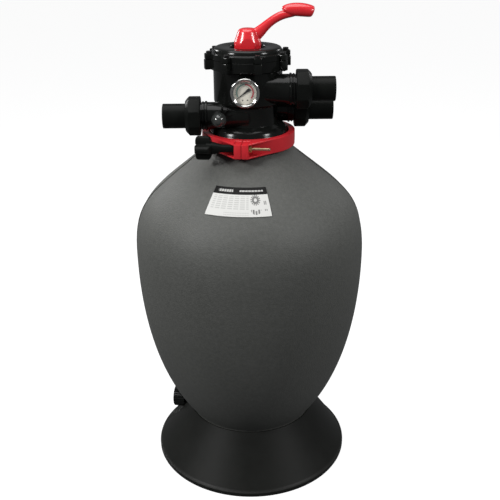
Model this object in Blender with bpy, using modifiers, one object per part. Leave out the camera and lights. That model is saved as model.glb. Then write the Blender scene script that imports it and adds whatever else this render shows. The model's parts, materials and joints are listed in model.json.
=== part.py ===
"""Top-mount sand filter tank for a pool or spa, with its multiport valve, as separate pieces.

Metres, +Z up. The origin is on the tank's axis, on the floor that the base stands on.
The valve's gauge looks along -Y, the waste port points along -X, the other two along +X.
"""

import bmesh
import bpy
from math import cos, pi, radians, sin
from mathutils import Matrix, Vector

# ---------------------------------------------------------------- driving dimensions

GAP = 0.0003                 # between pieces that touch
RUN = 0.0005                 # round a piece that turns or slides
SEGMENTS = 32                # round the large turned pieces
VALVE_SEGMENTS = 24          # round the valve's housing and cover

TANK_RADIUS = 0.250
TANK_WALL = 0.005
TANK_FOOT_RADIUS = 0.145     # where the tank enters the base
TANK_FOOT_Z = 0.121
TANK_WIDEST_Z = 0.510
TANK_FLANGE_Z = 0.770        # sealing face; the whole valve stands on it
NECK_Z = TANK_FLANGE_Z - 0.018   # top of the shoulder, foot of the neck
NECK_BORE = 0.064

BASE_RIM_RADIUS = 0.226
BASE_WALL = 0.004
BASE_SOCKET_WALL = 0.003
BASE_SHELF_Z = 0.040         # the tank's flat bottom stands on this shelf

FLANGE_RADIUS = 0.088        # tank flange and valve flange alike
FLANGE_EDGE = 0.005
FLANGE_BEVEL_IN = 0.0055     # the bevel that the clamp's groove wedges on
FLANGE_BEVEL_UP = 0.0045
VALVE_FLANGE_EXTRA = 0.003   # how much thicker the valve's flange is than the tank's
CLAMP_RADIUS = FLANGE_RADIUS + 0.0095
CLAMP_LIP = FLANGE_RADIUS - 0.0038   # inside the groove's two lips

LABEL_TURN = radians(-6.7)
LABEL_HALF_ANGLE = radians(19.8)
LABEL_LOW_Z = NECK_Z - 0.092
LABEL_HIGH_Z = NECK_Z - 0.0465
LABEL_THICKNESS = 0.0006

DRAIN_TURN = radians(169.0)  # about +Z from +X
DRAIN_Z = 0.100
DRAIN_OUTER = 0.017
DRAIN_BORE = 0.012
DRAIN_END = 0.183            # distance of the spigot's mouth from the tank's axis
DRAIN_CAP_RADIUS = 0.027
SCOOP_RADIUS = 0.036
SCOOP_SLOPE = radians(29.0)

PIPE_RADIUS = 0.025          # the standpipe
PIPE_BORE = PIPE_RADIUS - 0.0023
PIPE_BOTTOM_Z = 0.088
PIPE_TOP_Z = TANK_FLANGE_Z + 0.029
LATERAL_COUNT = 8
LATERAL_RADIUS = 0.009
LATERAL_REACH = 0.118
LATERAL_Z = 0.094
HUB_RADIUS = PIPE_RADIUS + 0.015

VALVE_LOWER_RADIUS = 0.061
VALVE_UPPER_RADIUS = 0.0707
VALVE_FLANGE_RADIUS = 0.078
VALVE_WALL = 0.005
CHAMBER_RADIUS = 0.064       # inside the upper half, where the diverter turns
SEAT_Z = TANK_FLANGE_Z + 0.080   # the plate that the diverter turns on
SEAT_THICKNESS = 0.006
VALVE_TOP_Z = TANK_FLANGE_Z + 0.165
WINDOW_COUNT = 6
WINDOW_INNER = 0.026
WINDOW_OUTER = 0.053

COVER_THICKNESS = 0.0115
COVER_DOME_RADIUS = 0.069
COVER_TOP_Z = VALVE_TOP_Z + 0.022
RECESS_RADIUS = 0.036
RECESS_Z = VALVE_TOP_Z + 0.0135
SCREW_COUNT = 8
SCREW_CIRCLE = VALVE_FLANGE_RADIUS + 0.002
SCREW_TURN = radians(13.5)   # from the front towards +X
SCREW_RADIUS = 0.003
LUG_REACH = SCREW_CIRCLE + 0.0095    # distance of a lug's face from the valve's axis
LUG_HALF_WIDTH = 0.0075
LUG_HEIGHT = 0.020

ROTOR_RADIUS = 0.060
STEM_RADIUS = 0.0105
BEARING_RADIUS = 0.017
SPRING_RADIUS = 0.022
SPRING_WIRE = 0.0017
SPRING_TURNS = 4.5

HANDLE_PIN_Z = VALVE_TOP_Z + 0.030
HANDLE_HUB_RADIUS = 0.0275
HANDLE_BOTTOM_Z = RECESS_Z + 0.0013
HANDLE_TILT = radians(12.0)

TAIL_RADIUS = 0.025
PORT_BORE = TAIL_RADIUS - 0.003
NUT_RADIUS = TAIL_RADIUS + 0.0125    # to the flats of the eight-sided nut
PORT_FACE = CLAMP_RADIUS + 0.0145    # where neck and tail meet
NUT_START = PORT_FACE - 0.015
NUT_END = PORT_FACE + 0.016
PORTS = (                    # name, side of X, y, z, radius of the neck, end of the tail
    ("waste", -1, -0.036, TANK_FLANGE_Z + 0.0537, TAIL_RADIUS + 0.0028, PORT_FACE + 0.0625),
    ("pump", 1, -0.036, TANK_FLANGE_Z + 0.1070, TAIL_RADIUS + 0.0050, PORT_FACE + 0.0640),
    ("return", 1, 0.036, TANK_FLANGE_Z + 0.0520, TAIL_RADIUS + 0.0028, PORT_FACE + 0.0675),
)

GAUGE_X = -0.006
GAUGE_Z = TANK_FLANGE_Z + 0.112
GAUGE_RADIUS = 0.027
GAUGE_BACK = 0.080           # distance of the case's back from the valve's axis
GAUGE_DEPTH = 0.017
GAUGE_STEM = 0.006
GAUGE_ZERO = radians(38.0)   # the needle at rest points left, this far below level

SIGHT_X = -0.059
SIGHT_Z = TANK_FLANGE_Z + 0.054
SIGHT_BOSS = 0.015
SIGHT_FACE = 0.071

CLAMP_TURN = radians(-7.0)   # from the front towards -X
CLAMP_HALF_HEIGHT = 0.015
CLAMP_LUG = 0.014
CLAMP_LUG_REACH = CLAMP_RADIUS + 0.0265
STUD_RADIUS = 0.004
STUD_Y = -CLAMP_RADIUS - 0.0145
STUD_Z = TANK_FLANGE_Z + 0.005
STUD_END = 0.056
KNOB_RADIUS = 0.0215
KNOB_LOBE = 0.003
KNOB_NEAR = 0.061
KNOB_FAR = 0.092
HINGE_Y = CLAMP_RADIUS + 0.0085
HINGE_PIN = 0.003

# ---------------------------------------------------------------- tools

for leftover in list(bpy.data.objects):
    bpy.data.objects.remove(leftover, do_unlink=True)

parts = bpy.data.collections.new("sand_filter_tank")
cutters = bpy.data.collections.new("cutters")
frames = bpy.data.collections.new("frames")
for group in (parts, cutters, frames):
    bpy.context.scene.collection.children.link(group)


def finish(name, colour, roughness, metallic=0.0, alpha=1.0):
    """A plain material, from its colour and its gloss."""
    material = bpy.data.materials.new(name)
    material.use_nodes = True
    shader = material.node_tree.nodes["Principled BSDF"]
    shader.inputs["Base Color"].default_value = (*colour, 1.0)
    shader.inputs["Roughness"].default_value = roughness
    shader.inputs["Metallic"].default_value = metallic
    shader.inputs["Alpha"].default_value = alpha
    return material


GREY = finish("tank grey", (0.085, 0.087, 0.082), 0.62)
BASE_BLACK = finish("base black", (0.020, 0.021, 0.021), 0.45)
BLACK = finish("gloss black", (0.012, 0.012, 0.012), 0.22)
RED = finish("red", (0.55, 0.010, 0.020), 0.30)
RUBBER = finish("rubber", (0.015, 0.015, 0.015), 0.80)
WHITE = finish("white plastic", (0.70, 0.70, 0.68), 0.45)
PAPER = finish("label", (0.75, 0.75, 0.73), 0.50)
STEEL = finish("steel", (0.60, 0.60, 0.58), 0.25, 1.0)
BRASS = finish("brass", (0.62, 0.45, 0.18), 0.30, 1.0)
CLEAR = finish("clear", (0.90, 0.92, 0.92), 0.05, 0.0, 0.35)


def empty(name, turn=0.0):
    """A turned frame that pieces can be parented to."""
    guide = bpy.data.objects.new(name, None)
    guide.rotation_euler = (0.0, 0.0, turn)
    frames.objects.link(guide)
    return guide


def aim(piece, direction):
    """Turns a piece so that its own +Z points along a direction."""
    piece.rotation_mode = "QUATERNION"
    piece.rotation_quaternion = Vector(direction).to_track_quat("Z", "Y")


def add(name, mesh, material=None, place=(0.0, 0.0, 0.0), parent=None):
    """Links a mesh as a part, or as a cutter when it has no material."""
    piece = bpy.data.objects.new(name, mesh)
    piece.location = place
    piece.parent = parent
    if material is None:
        cutters.objects.link(piece)
        piece.hide_render = True
        piece.display_type = "WIRE"
    else:
        parts.objects.link(piece)
        mesh.materials.append(material)
    return piece


def smooth(piece, angle=radians(35.0)):
    piece.data.shade_smooth()
    piece.data.set_sharp_from_angle(angle=angle)


def turned(name, outline, material=None, segments=SEGMENTS, place=(0.0, 0.0, 0.0), parent=None):
    """Turns an outline of (radius, height) points about Z; it runs down the outer side."""
    mesh = bpy.data.meshes.new(name)
    edges = [(i, i + 1) for i in range(len(outline) - 1)]
    if outline[0][0] > 0.0:
        edges.append((len(outline) - 1, 0))
    mesh.from_pydata([(radius, 0.0, height) for radius, height in outline], edges, [])
    piece = add(name, mesh, material, place, parent)
    screw = piece.modifiers.new("turn", "SCREW")
    screw.steps = segments
    screw.render_steps = segments
    screw.use_merge_vertices = True
    screw.merge_threshold = 0.00001
    screw.use_smooth_shade = True
    return piece


def cones(name, pieces, material=None, segments=16, place=(0.0, 0.0, 0.0), parent=None):
    """One mesh of capped cylinders or cones, each (start, end, start radius, end radius)."""
    build = bmesh.new()
    for start, end, first, last in pieces:
        run = Vector(end) - Vector(start)
        turn = run.to_track_quat("Z", "Y").to_matrix().to_4x4()
        turn.translation = (Vector(start) + Vector(end)) / 2
        bmesh.ops.create_cone(build, cap_ends=True, segments=segments, radius1=first, radius2=last,
                              depth=run.length, matrix=turn)
    mesh = bpy.data.meshes.new(name)
    build.to_mesh(mesh)
    build.free()
    piece = add(name, mesh, material, place, parent)
    smooth(piece)
    return piece


def rod(name, radius, start, end, material=None, segments=16, place=(0.0, 0.0, 0.0), parent=None):
    return cones(name, [(start, end, radius, radius)], material, segments, place, parent)


def block(name, low, high, material=None, place=(0.0, 0.0, 0.0), parent=None):
    """A box between two corners."""
    build = bmesh.new()
    bmesh.ops.create_cube(build, size=1.0)
    for vertex in build.verts:
        for axis in range(3):
            vertex.co[axis] = low[axis] if vertex.co[axis] < 0.0 else high[axis]
    mesh = bpy.data.meshes.new(name)
    build.to_mesh(mesh)
    build.free()
    return add(name, mesh, material, place, parent)


def plates(name, outlines, low, high, material=None, place=(0.0, 0.0, 0.0), parent=None):
    """Flat outlines in XY, extruded from one height to another, as one mesh."""
    curve = bpy.data.curves.new(name, "CURVE")
    curve.dimensions = "2D"
    curve.fill_mode = "BOTH"
    curve.extrude = (high - low) / 2
    for outline in outlines:
        spline = curve.splines.new("POLY")
        spline.points.add(len(outline) - 1)
        spline.use_cyclic_u = True
        for point, (x, y) in zip(spline.points, outline):
            point.co = (x, y, 0.0, 1.0)
    source = bpy.data.objects.new(name, curve)
    cutters.objects.link(source)
    view = bpy.context.evaluated_depsgraph_get()
    mesh = bpy.data.meshes.new_from_object(source.evaluated_get(view))
    bpy.data.objects.remove(source, do_unlink=True)
    build = bmesh.new()
    build.from_mesh(mesh)
    bmesh.ops.remove_doubles(build, verts=build.verts, dist=0.00001)
    bmesh.ops.translate(build, verts=build.verts, vec=(0.0, 0.0, (low + high) / 2))
    bmesh.ops.recalc_face_normals(build, faces=build.faces)
    build.to_mesh(mesh)
    build.free()
    mesh.materials.clear()
    return add(name, mesh, material, place, parent)


def ring(name, major, minor, place, direction=(0.0, 0.0, 1.0), around=24, section=6):
    """A rubber O-ring."""
    bpy.ops.mesh.primitive_torus_add(major_segments=around, minor_segments=section,
                                     major_radius=major, minor_radius=minor)
    piece = bpy.context.object
    for group in piece.users_collection:
        group.objects.unlink(piece)
    parts.objects.link(piece)
    piece.name = name
    piece.data.name = name
    piece.data.materials.append(RUBBER)
    piece.data.shade_smooth()
    piece.location = place
    aim(piece, direction)
    return piece


def boolean(piece, other, operation):
    modifier = piece.modifiers.new(operation.lower(), "BOOLEAN")
    modifier.operation = operation
    modifier.object = other


def cut(piece, other):
    boolean(piece, other, "DIFFERENCE")


def join(piece, other):
    boolean(piece, other, "UNION")


def polar(radius, angle, z=None):
    """A point at an angle about +Z from +X."""
    point = (radius * cos(angle), radius * sin(angle))
    return point if z is None else (*point, z)


def around(count, start=0.0):
    return [start + 2 * pi * i / count for i in range(count)]


def sector(inner, outer, middle, half, steps=2):
    """The outline of a ring sector."""
    sweep = [middle - half + 2 * half * i / steps for i in range(steps + 1)]
    return [polar(outer, angle) for angle in sweep] + [polar(inner, angle) for angle in reversed(sweep)]


def bezier(points, steps):
    """Points of one cubic curve, both ends included."""
    a, b, c, d = (Vector(point) for point in points)
    curve = []
    for i in range(steps + 1):
        t = i / steps
        s = 1.0 - t
        curve.append(tuple(a * s**3 + b * 3 * s * s * t + c * 3 * s * t * t + d * t**3))
    return curve


def tank_side(inset=0.0, steps=6):
    """The tank's outer side from neck to foot, or its inner side when inset by the wall."""
    radius = TANK_RADIUS - inset
    neck = FLANGE_RADIUS + 0.002 - inset
    foot = TANK_FOOT_RADIUS - inset
    shoulder = bezier(((neck, NECK_Z - 0.002 - inset), (radius - 0.043, NECK_Z - 0.102 - inset),
                       (radius, TANK_WIDEST_Z + 0.131), (radius, TANK_WIDEST_Z)), steps)
    flank = bezier(((radius, TANK_WIDEST_Z), (radius, TANK_WIDEST_Z - 0.107),
                    (foot + 0.088, TANK_FOOT_Z + 0.116), (foot, TANK_FOOT_Z)), steps)
    return shoulder + flank[1:]


# ---------------------------------------------------------------- base and tank

def base_skirt():
    """The moulded stand: a hollow cone with a socket for the tank and a scoop for the drain."""
    inside = TANK_FOOT_RADIUS + 2 * GAP
    top = TANK_FOOT_Z - 0.002
    outer = inside + BASE_SOCKET_WALL
    rim = BASE_RIM_RADIUS
    cone_foot = rim - BASE_WALL
    junction = top - 0.010
    skirt = turned("base_skirt", [
        (outer - 0.0005, top), (outer + 0.001, top - 0.003), (cone_foot, 0.012), (rim, 0.009), (rim, 0.002),
        (rim - 0.002, 0.0), (rim - 0.008, 0.0), (rim - 0.009, 0.010), (outer + 0.0005, junction - 0.004),
        (outer, BASE_SHELF_Z - 0.004), (TANK_FOOT_RADIUS - 0.050, BASE_SHELF_Z - 0.004),
        (TANK_FOOT_RADIUS - 0.050, BASE_SHELF_Z), (inside, BASE_SHELF_Z), (inside, top)], BASE_BLACK)
    turn = empty("drain_frame", DRAIN_TURN)
    start = (inside - 0.010, 0.0, DRAIN_Z + 0.010)
    length = 0.110
    end = (start[0] + length * cos(SCOOP_SLOPE), 0.0, start[2] - length * sin(SCOOP_SLOPE))
    trough = rod("scoop_wall", SCOOP_RADIUS + BASE_WALL, start, end, segments=20, parent=turn)
    fill = turned("scoop_fill", [
        (outer + 0.002, top - 0.006), (cone_foot - 0.0015, 0.0125), (rim - 0.0035, 0.008), (rim - 0.0035, 0.003),
        (outer - 0.001, 0.003)])
    boolean(trough, fill, "INTERSECT")
    join(skirt, trough)
    far = (end[0] + 0.030 * cos(SCOOP_SLOPE), 0.0, end[2] - 0.030 * sin(SCOOP_SLOPE))
    cut(skirt, rod("scoop", SCOOP_RADIUS, start, far, segments=20, parent=turn))


def tank_shell():
    """The moulded vessel, with a bevelled flange round its neck and a hole for the drain."""
    wall = TANK_WALL
    edge = TANK_FLANGE_Z - FLANGE_EDGE
    neck = FLANGE_RADIUS - FLANGE_BEVEL_IN
    floor = BASE_SHELF_Z + GAP
    shell = turned("tank_shell", [
        (0.0, floor + wall), (TANK_FOOT_RADIUS - 0.032, floor + wall),
        (TANK_FOOT_RADIUS - 0.008, floor + 0.027), *reversed(tank_side(wall, 3)),
        (NECK_BORE, NECK_Z - 0.002), (NECK_BORE, TANK_FLANGE_Z),
        (FLANGE_RADIUS, TANK_FLANGE_Z), (FLANGE_RADIUS, edge), (neck, edge - FLANGE_BEVEL_UP),
        (neck, NECK_Z + 0.002), *tank_side(), (TANK_FOOT_RADIUS - 0.003, floor + 0.026),
        (TANK_FOOT_RADIUS - 0.016, floor + 0.006), (TANK_FOOT_RADIUS - 0.030, floor), (0.0, floor)], GREY)
    turn = bpy.data.objects["drain_frame"]
    cut(shell, rod("drain_hole", DRAIN_OUTER + GAP, (0.110, 0.0, DRAIN_Z), (0.190, 0.0, DRAIN_Z),
                   segments=20, parent=turn))


def tank_label():
    """The label, which follows the shoulder of the tank."""
    rows = [(radius, z) for radius, z in tank_side(0.0, 60) if LABEL_LOW_Z <= z <= LABEL_HIGH_Z][::2]
    columns = 12
    build = bmesh.new()
    grid = []
    for radius, z in rows:
        line = []
        for i in range(columns + 1):
            angle = -pi / 2 + LABEL_TURN + LABEL_HALF_ANGLE * (2 * i / columns - 1)
            line.append(build.verts.new(polar(radius + GAP, angle, z + GAP)))
        grid.append(line)
    for upper, lower in zip(grid, grid[1:]):
        for i in range(columns):
            build.faces.new((upper[i], lower[i], lower[i + 1], upper[i + 1]))
    mesh = bpy.data.meshes.new("tank_label")
    build.to_mesh(mesh)
    build.free()
    label = add("tank_label", mesh, PAPER)
    solidify = label.modifiers.new("thickness", "SOLIDIFY")
    solidify.thickness = LABEL_THICKNESS
    solidify.offset = 1.0
    smooth(label)


def drain():
    """The drain: a spigot through the tank's wall, its nut inside, and an O-ring and cap outside."""
    axis = Vector(polar(1.0, DRAIN_TURN, 0.0))
    centre = Vector((0.0, 0.0, DRAIN_Z))
    flange = TANK_FOOT_RADIUS + 0.0028
    inside = TANK_FOOT_RADIUS - TANK_WALL - 0.004
    spigot = turned("drain_spigot", [
        (DRAIN_OUTER, DRAIN_END), (DRAIN_OUTER, flange + 0.005), (0.0235, flange + 0.005), (0.0235, flange),
        (DRAIN_OUTER, flange), (DRAIN_OUTER, inside - 0.006), (DRAIN_BORE, inside - 0.006),
        (DRAIN_BORE, DRAIN_END)], BLACK, 20, centre)
    nut = plates("drain_nut", [[polar(0.0235, angle) for angle in around(6)]], inside - 0.005, inside,
                 BLACK, centre)
    thread = rod("drain_nut_thread", DRAIN_OUTER + GAP, (0.0, 0.0, inside - 0.010), (0.0, 0.0, inside + 0.005),
                 segments=20, place=centre)
    cut(nut, thread)
    section = 0.0018
    ring("drain_oring", (DRAIN_OUTER + DRAIN_BORE) / 2, section,
         centre + axis * (DRAIN_END + GAP + section), axis, 20, 6)
    floor = DRAIN_END + 2 * (GAP + section)
    outline = []
    for i, angle in enumerate(around(36)):
        outline.append(polar(DRAIN_CAP_RADIUS - (0.0015 if i % 2 else 0.0), angle))
    cap = plates("drain_cap", [outline], floor - 0.024, floor + 0.004, BLACK, centre)
    bore = rod("drain_cap_bore", DRAIN_OUTER + RUN, (0.0, 0.0, floor - 0.030), (0.0, 0.0, floor),
               segments=20, place=centre)
    cut(cap, bore)
    for piece in (spigot, nut, thread, cap, bore):
        aim(piece, axis)


# ---------------------------------------------------------------- inside the tank

def underdrain():
    """The standpipe, and the hub at its foot with the slotted laterals that water leaves through."""
    turned("standpipe", [
        (PIPE_RADIUS, PIPE_TOP_Z), (PIPE_RADIUS, PIPE_BOTTOM_Z), (PIPE_BORE, PIPE_BOTTOM_Z),
        (PIPE_BORE, PIPE_TOP_Z)], WHITE, 24)
    low = LATERAL_Z - LATERAL_RADIUS - 0.006
    high = LATERAL_Z + LATERAL_RADIUS + 0.010
    socket = PIPE_RADIUS + GAP
    hub = turned("lateral_hub", [
        (0.0, low), (PIPE_BORE, low), (PIPE_BORE, PIPE_BOTTOM_Z - GAP), (socket, PIPE_BOTTOM_Z - GAP),
        (socket, high), (socket + 0.004, high), (HUB_RADIUS, high - 0.008), (HUB_RADIUS, low),
        (0.0, low - 0.006)], BLACK, 24)
    angles = around(LATERAL_COUNT, pi / LATERAL_COUNT)
    neck = HUB_RADIUS - 0.011
    cut(hub, cones("lateral_sockets", [
        (polar(neck - GAP, angle, LATERAL_Z), polar(HUB_RADIUS + 0.010, angle, LATERAL_Z),
         LATERAL_RADIUS + RUN, LATERAL_RADIUS + RUN) for angle in angles], segments=10))
    for number, angle in enumerate(angles, 1):
        rod(f"lateral_{number}", LATERAL_RADIUS, (neck, 0.0, 0.0), (LATERAL_REACH, 0.0, 0.0), WHITE, 10,
            (0.0, 0.0, LATERAL_Z)).rotation_euler.z = angle


def diffuser():
    """The slotted basket under the valve that spreads the water over the sand."""
    top = TANK_FLANGE_Z
    radius = NECK_BORE - 0.006
    inner = PIPE_RADIUS + RUN
    low = top - 0.048
    basket = turned("diffuser", [
        (radius, top), (radius, low), (inner, low), (inner, low + 0.003), (radius - 0.003, low + 0.003),
        (radius - 0.003, top)], WHITE, 24)
    slots = []
    for angle in around(4, pi / 8):
        slots.append((polar(radius + 0.010, angle, top - 0.028), polar(radius + 0.010, angle + pi, top - 0.028),
                      0.012, 0.012))
    for number, slot in enumerate(slots, 1):
        cut(basket, cones(f"diffuser_window_{number}", [slot], segments=8))


# ---------------------------------------------------------------- the valve

def valve_windows(low, high, name):
    """Cutters for the six wedge-shaped windows that the diverter opens and closes."""
    outlines = [sector(WINDOW_INNER, WINDOW_OUTER, angle, radians(22.0)) for angle in around(WINDOW_COUNT)]
    return plates(name, outlines, low, high)


def screw_places():
    return [polar(SCREW_CIRCLE, -pi / 2 + angle) for angle in around(SCREW_COUNT, SCREW_TURN)]


def lugs(name, low, high, setback=0.0):
    """Square lugs round a flange, one for each screw, that start inside its rim."""
    outlines = []
    for angle in around(SCREW_COUNT, SCREW_TURN - pi / 2):
        across = Vector(polar(LUG_HALF_WIDTH, angle + pi / 2))
        far = Vector(polar(LUG_REACH - setback, angle))
        near = Vector(polar(VALVE_UPPER_RADIUS - 0.002, angle))
        outlines.append([tuple(near - across), tuple(far - across), tuple(far + across), tuple(near + across)])
    return plates(name, outlines, low, high)


def valve_body():
    """The valve's housing: clamp flange, two chambers and a seat between them, and three ports."""
    base = TANK_FLANGE_Z + GAP
    edge = base + FLANGE_EDGE + VALVE_FLANGE_EXTRA
    shoulder = FLANGE_RADIUS - FLANGE_BEVEL_IN
    step = SEAT_Z - 0.002
    passage = VALVE_LOWER_RADIUS - VALVE_WALL
    under = SEAT_Z - SEAT_THICKNESS
    socket = PIPE_RADIUS + GAP
    tube = socket + 0.004
    seal = (NECK_BORE + FLANGE_RADIUS) / 2 - 0.003
    section = 0.0022
    groove = section + 0.0008
    body = turned("valve_body", [
        (0.0, VALVE_TOP_Z), (VALVE_FLANGE_RADIUS, VALVE_TOP_Z),
        (VALVE_FLANGE_RADIUS, VALVE_TOP_Z - LUG_HEIGHT),
        (VALVE_UPPER_RADIUS, VALVE_TOP_Z - LUG_HEIGHT - 0.003), (VALVE_UPPER_RADIUS, step),
        (VALVE_LOWER_RADIUS, step - 0.006), (VALVE_LOWER_RADIUS, edge + 0.024),
        (VALVE_LOWER_RADIUS + 0.012, edge + 0.021), (shoulder - 0.003, edge + 0.014),
        (shoulder, edge + FLANGE_BEVEL_UP), (FLANGE_RADIUS, edge), (FLANGE_RADIUS, base),
        (seal + groove, base), (seal + groove, base + 0.005), (seal - groove, base + 0.005),
        (seal - groove, base), (0.0, base)], BLACK, VALVE_SEGMENTS)
    join(body, lugs("body_lugs", VALVE_TOP_Z - LUG_HEIGHT + 0.0002, VALVE_TOP_Z - 0.0001))
    for name, side, y, z, neck, _ in PORTS:
        join(body, rod(f"{name}_neck", neck, (0.0, y, z), (side * PORT_FACE, y, z), segments=18))
    join(body, rod("gauge_boss", 0.012, (GAUGE_X, -0.050, GAUGE_Z), (GAUGE_X, -0.076, GAUGE_Z), segments=10))
    join(body, rod("sight_boss", SIGHT_BOSS, (SIGHT_X, -0.040, SIGHT_Z), (SIGHT_X, -SIGHT_FACE, SIGHT_Z),
                   segments=12))
    cut(body, rod("upper_chamber", CHAMBER_RADIUS, (0.0, 0.0, SEAT_Z), (0.0, 0.0, VALVE_TOP_Z + 0.010),
                  segments=VALVE_SEGMENTS))
    cut(body, turned("lower_chamber", [(passage, under), (passage, base - 0.010), (tube, base - 0.010),
                                       (tube, under)], None, 24))
    cut(body, rod("standpipe_socket", socket, (0.0, 0.0, base - 0.010), (0.0, 0.0, PIPE_TOP_Z + GAP), segments=24))
    cut(body, rod("standpipe_way", PIPE_BORE - 0.002, (0.0, 0.0, PIPE_TOP_Z - 0.010), (0.0, 0.0, SEAT_Z + 0.010),
                  segments=24))
    cut(body, valve_windows(under - 0.003, SEAT_Z + 0.003, "seat_windows"))
    for name, side, y, z, _, _ in PORTS:
        cut(body, rod(f"{name}_bore", PORT_BORE, (side * 0.030, y, z), (side * 0.150, y, z), segments=18))
    cut(body, rod("gauge_hole", GAUGE_STEM + RUN, (GAUGE_X, -0.045, GAUGE_Z), (GAUGE_X, -0.085, GAUGE_Z),
                  segments=10))
    cut(body, rod("sight_hole", 0.010, (SIGHT_X, -0.040, SIGHT_Z), (SIGHT_X, -0.080, SIGHT_Z), segments=10))
    holes = [((x, y, VALVE_TOP_Z - 0.014), (x, y, VALVE_TOP_Z + 0.010), SCREW_RADIUS + GAP, SCREW_RADIUS + GAP)
             for x, y in screw_places()]
    cut(body, cones("body_screw_holes", holes, segments=8))
    ring("tank_oring", seal, section, (0.0, 0.0, TANK_FLANGE_Z + GAP + section), section=5)


def valve_cover():
    """The domed cover, with the stem's bearing, its seals and the screws that hold it down."""
    low = VALVE_TOP_Z + GAP
    high = low + COVER_THICKNESS
    spigot = CHAMBER_RADIUS - 0.0010
    bore = STEM_RADIUS + RUN
    groove = 0.0032
    cover = turned("valve_cover", [
        (COVER_DOME_RADIUS - 0.007, COVER_TOP_Z), (COVER_DOME_RADIUS, COVER_TOP_Z - 0.004),
        (COVER_DOME_RADIUS + 0.0005, high), (VALVE_FLANGE_RADIUS, high), (VALVE_FLANGE_RADIUS, low),
        (spigot, low), (spigot, low - 0.003), (spigot - groove, low - 0.003), (spigot - groove, low - 0.007),
        (spigot, low - 0.007), (spigot, low - 0.010), (spigot - 0.006, low - 0.010),
        (spigot - 0.006, low + 0.006), (BEARING_RADIUS, low + 0.006), (BEARING_RADIUS, low - 0.030),
        (bore, low - 0.030), (bore, low - 0.010), (bore + groove, low - 0.010), (bore + groove, low - 0.006),
        (bore, low - 0.006), (bore, RECESS_Z), (RECESS_RADIUS, RECESS_Z), (RECESS_RADIUS + 0.0005, COVER_TOP_Z)],
        BLACK, VALVE_SEGMENTS)
    join(cover, lugs("cover_lugs", low + 0.0001, high - 0.0002, 0.001))
    holes = [((x, y, low - 0.005), (x, y, high + 0.010), SCREW_RADIUS + GAP, SCREW_RADIUS + GAP)
             for x, y in screw_places()]
    cut(cover, cones("cover_screw_holes", holes, segments=8))
    seat = high + GAP
    for number, (x, y) in enumerate(screw_places(), 1):
        turned(f"cover_screw_{number}", [
            (0.0, 0.0040), (0.0050, 0.0040), (0.0058, 0.0030), (0.0058, 0.0), (SCREW_RADIUS, 0.0),
            (SCREW_RADIUS, -0.0235), (0.0, -0.0235)], STEEL, 6, (x, y, seat))
    ring("cover_oring", spigot - groove / 2 + 0.0001, 0.0014, (0.0, 0.0, low - 0.005), section=5)
    ring("stem_oring", bore + groove / 2, 0.0014, (0.0, 0.0, low - 0.008), around=16, section=5)


def diverter():
    """The spider gasket, the diverter that turns on it, and the spring that presses it down."""
    gasket_low = SEAT_Z + GAP
    gasket_high = gasket_low + 0.003
    gasket = turned("spider_gasket", [
        (ROTOR_RADIUS + 0.0015, gasket_high), (ROTOR_RADIUS + 0.0015, gasket_low), (0.019, gasket_low),
        (0.019, gasket_high)], RUBBER, 24)
    cut(gasket, valve_windows(gasket_low - 0.003, gasket_high + 0.003, "gasket_windows"))
    low = gasket_high + GAP
    top = low + 0.008
    boss = top + 0.0165
    stem_top = HANDLE_PIN_Z + 0.010
    rotor = turned("rotor", [
        (0.0, stem_top), (STEM_RADIUS - 0.001, stem_top), (STEM_RADIUS, stem_top - 0.001), (STEM_RADIUS, boss),
        (0.018, boss), (0.020, top), (ROTOR_RADIUS, top), (ROTOR_RADIUS, low), (0.0, low)], BLACK, 24)
    dome = sector(0.0245, 0.056, radians(90.0), radians(58.0), 6)
    hollow = sector(0.0275, 0.053, radians(90.0), radians(53.0), 6)
    join(rotor, plates("rotor_dome", [dome], low + 0.001, top + 0.011))
    cut(rotor, plates("rotor_hollow", [hollow], low - 0.002, top + 0.008))
    cut(rotor, plates("rotor_window", [sector(0.0275, 0.053, radians(-90.0), radians(21.0))],
                      low - 0.002, top + 0.002))
    pin = HINGE_PIN + GAP
    cut(rotor, rod("stem_pin_hole", pin, (0.0, -0.020, HANDLE_PIN_Z), (0.0, 0.020, HANDLE_PIN_Z), segments=10))
    washer = boss + GAP
    turned("spring_washer", [
        (SPRING_RADIUS + 0.004, washer + 0.0015), (SPRING_RADIUS + 0.004, washer), (STEM_RADIUS + RUN, washer),
        (STEM_RADIUS + RUN, washer + 0.0015)], STEEL, 24)
    start = washer + 0.0015 + GAP + SPRING_WIRE
    end = VALVE_TOP_Z + 0.006 - SPRING_WIRE - GAP
    curve = bpy.data.curves.new("valve_spring", "CURVE")
    curve.dimensions = "3D"
    curve.bevel_depth = SPRING_WIRE
    curve.bevel_resolution = 1
    curve.use_fill_caps = True
    spline = curve.splines.new("POLY")
    steps = round(SPRING_TURNS * 8)
    spline.points.add(steps)
    for i, point in enumerate(spline.points):
        angle = 2 * pi * SPRING_TURNS * i / steps
        point.co = (*polar(SPRING_RADIUS, angle, start + (end - start) * i / steps), 1.0)
    curve.materials.append(STEEL)
    parts.objects.link(bpy.data.objects.new("valve_spring", curve))


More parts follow.
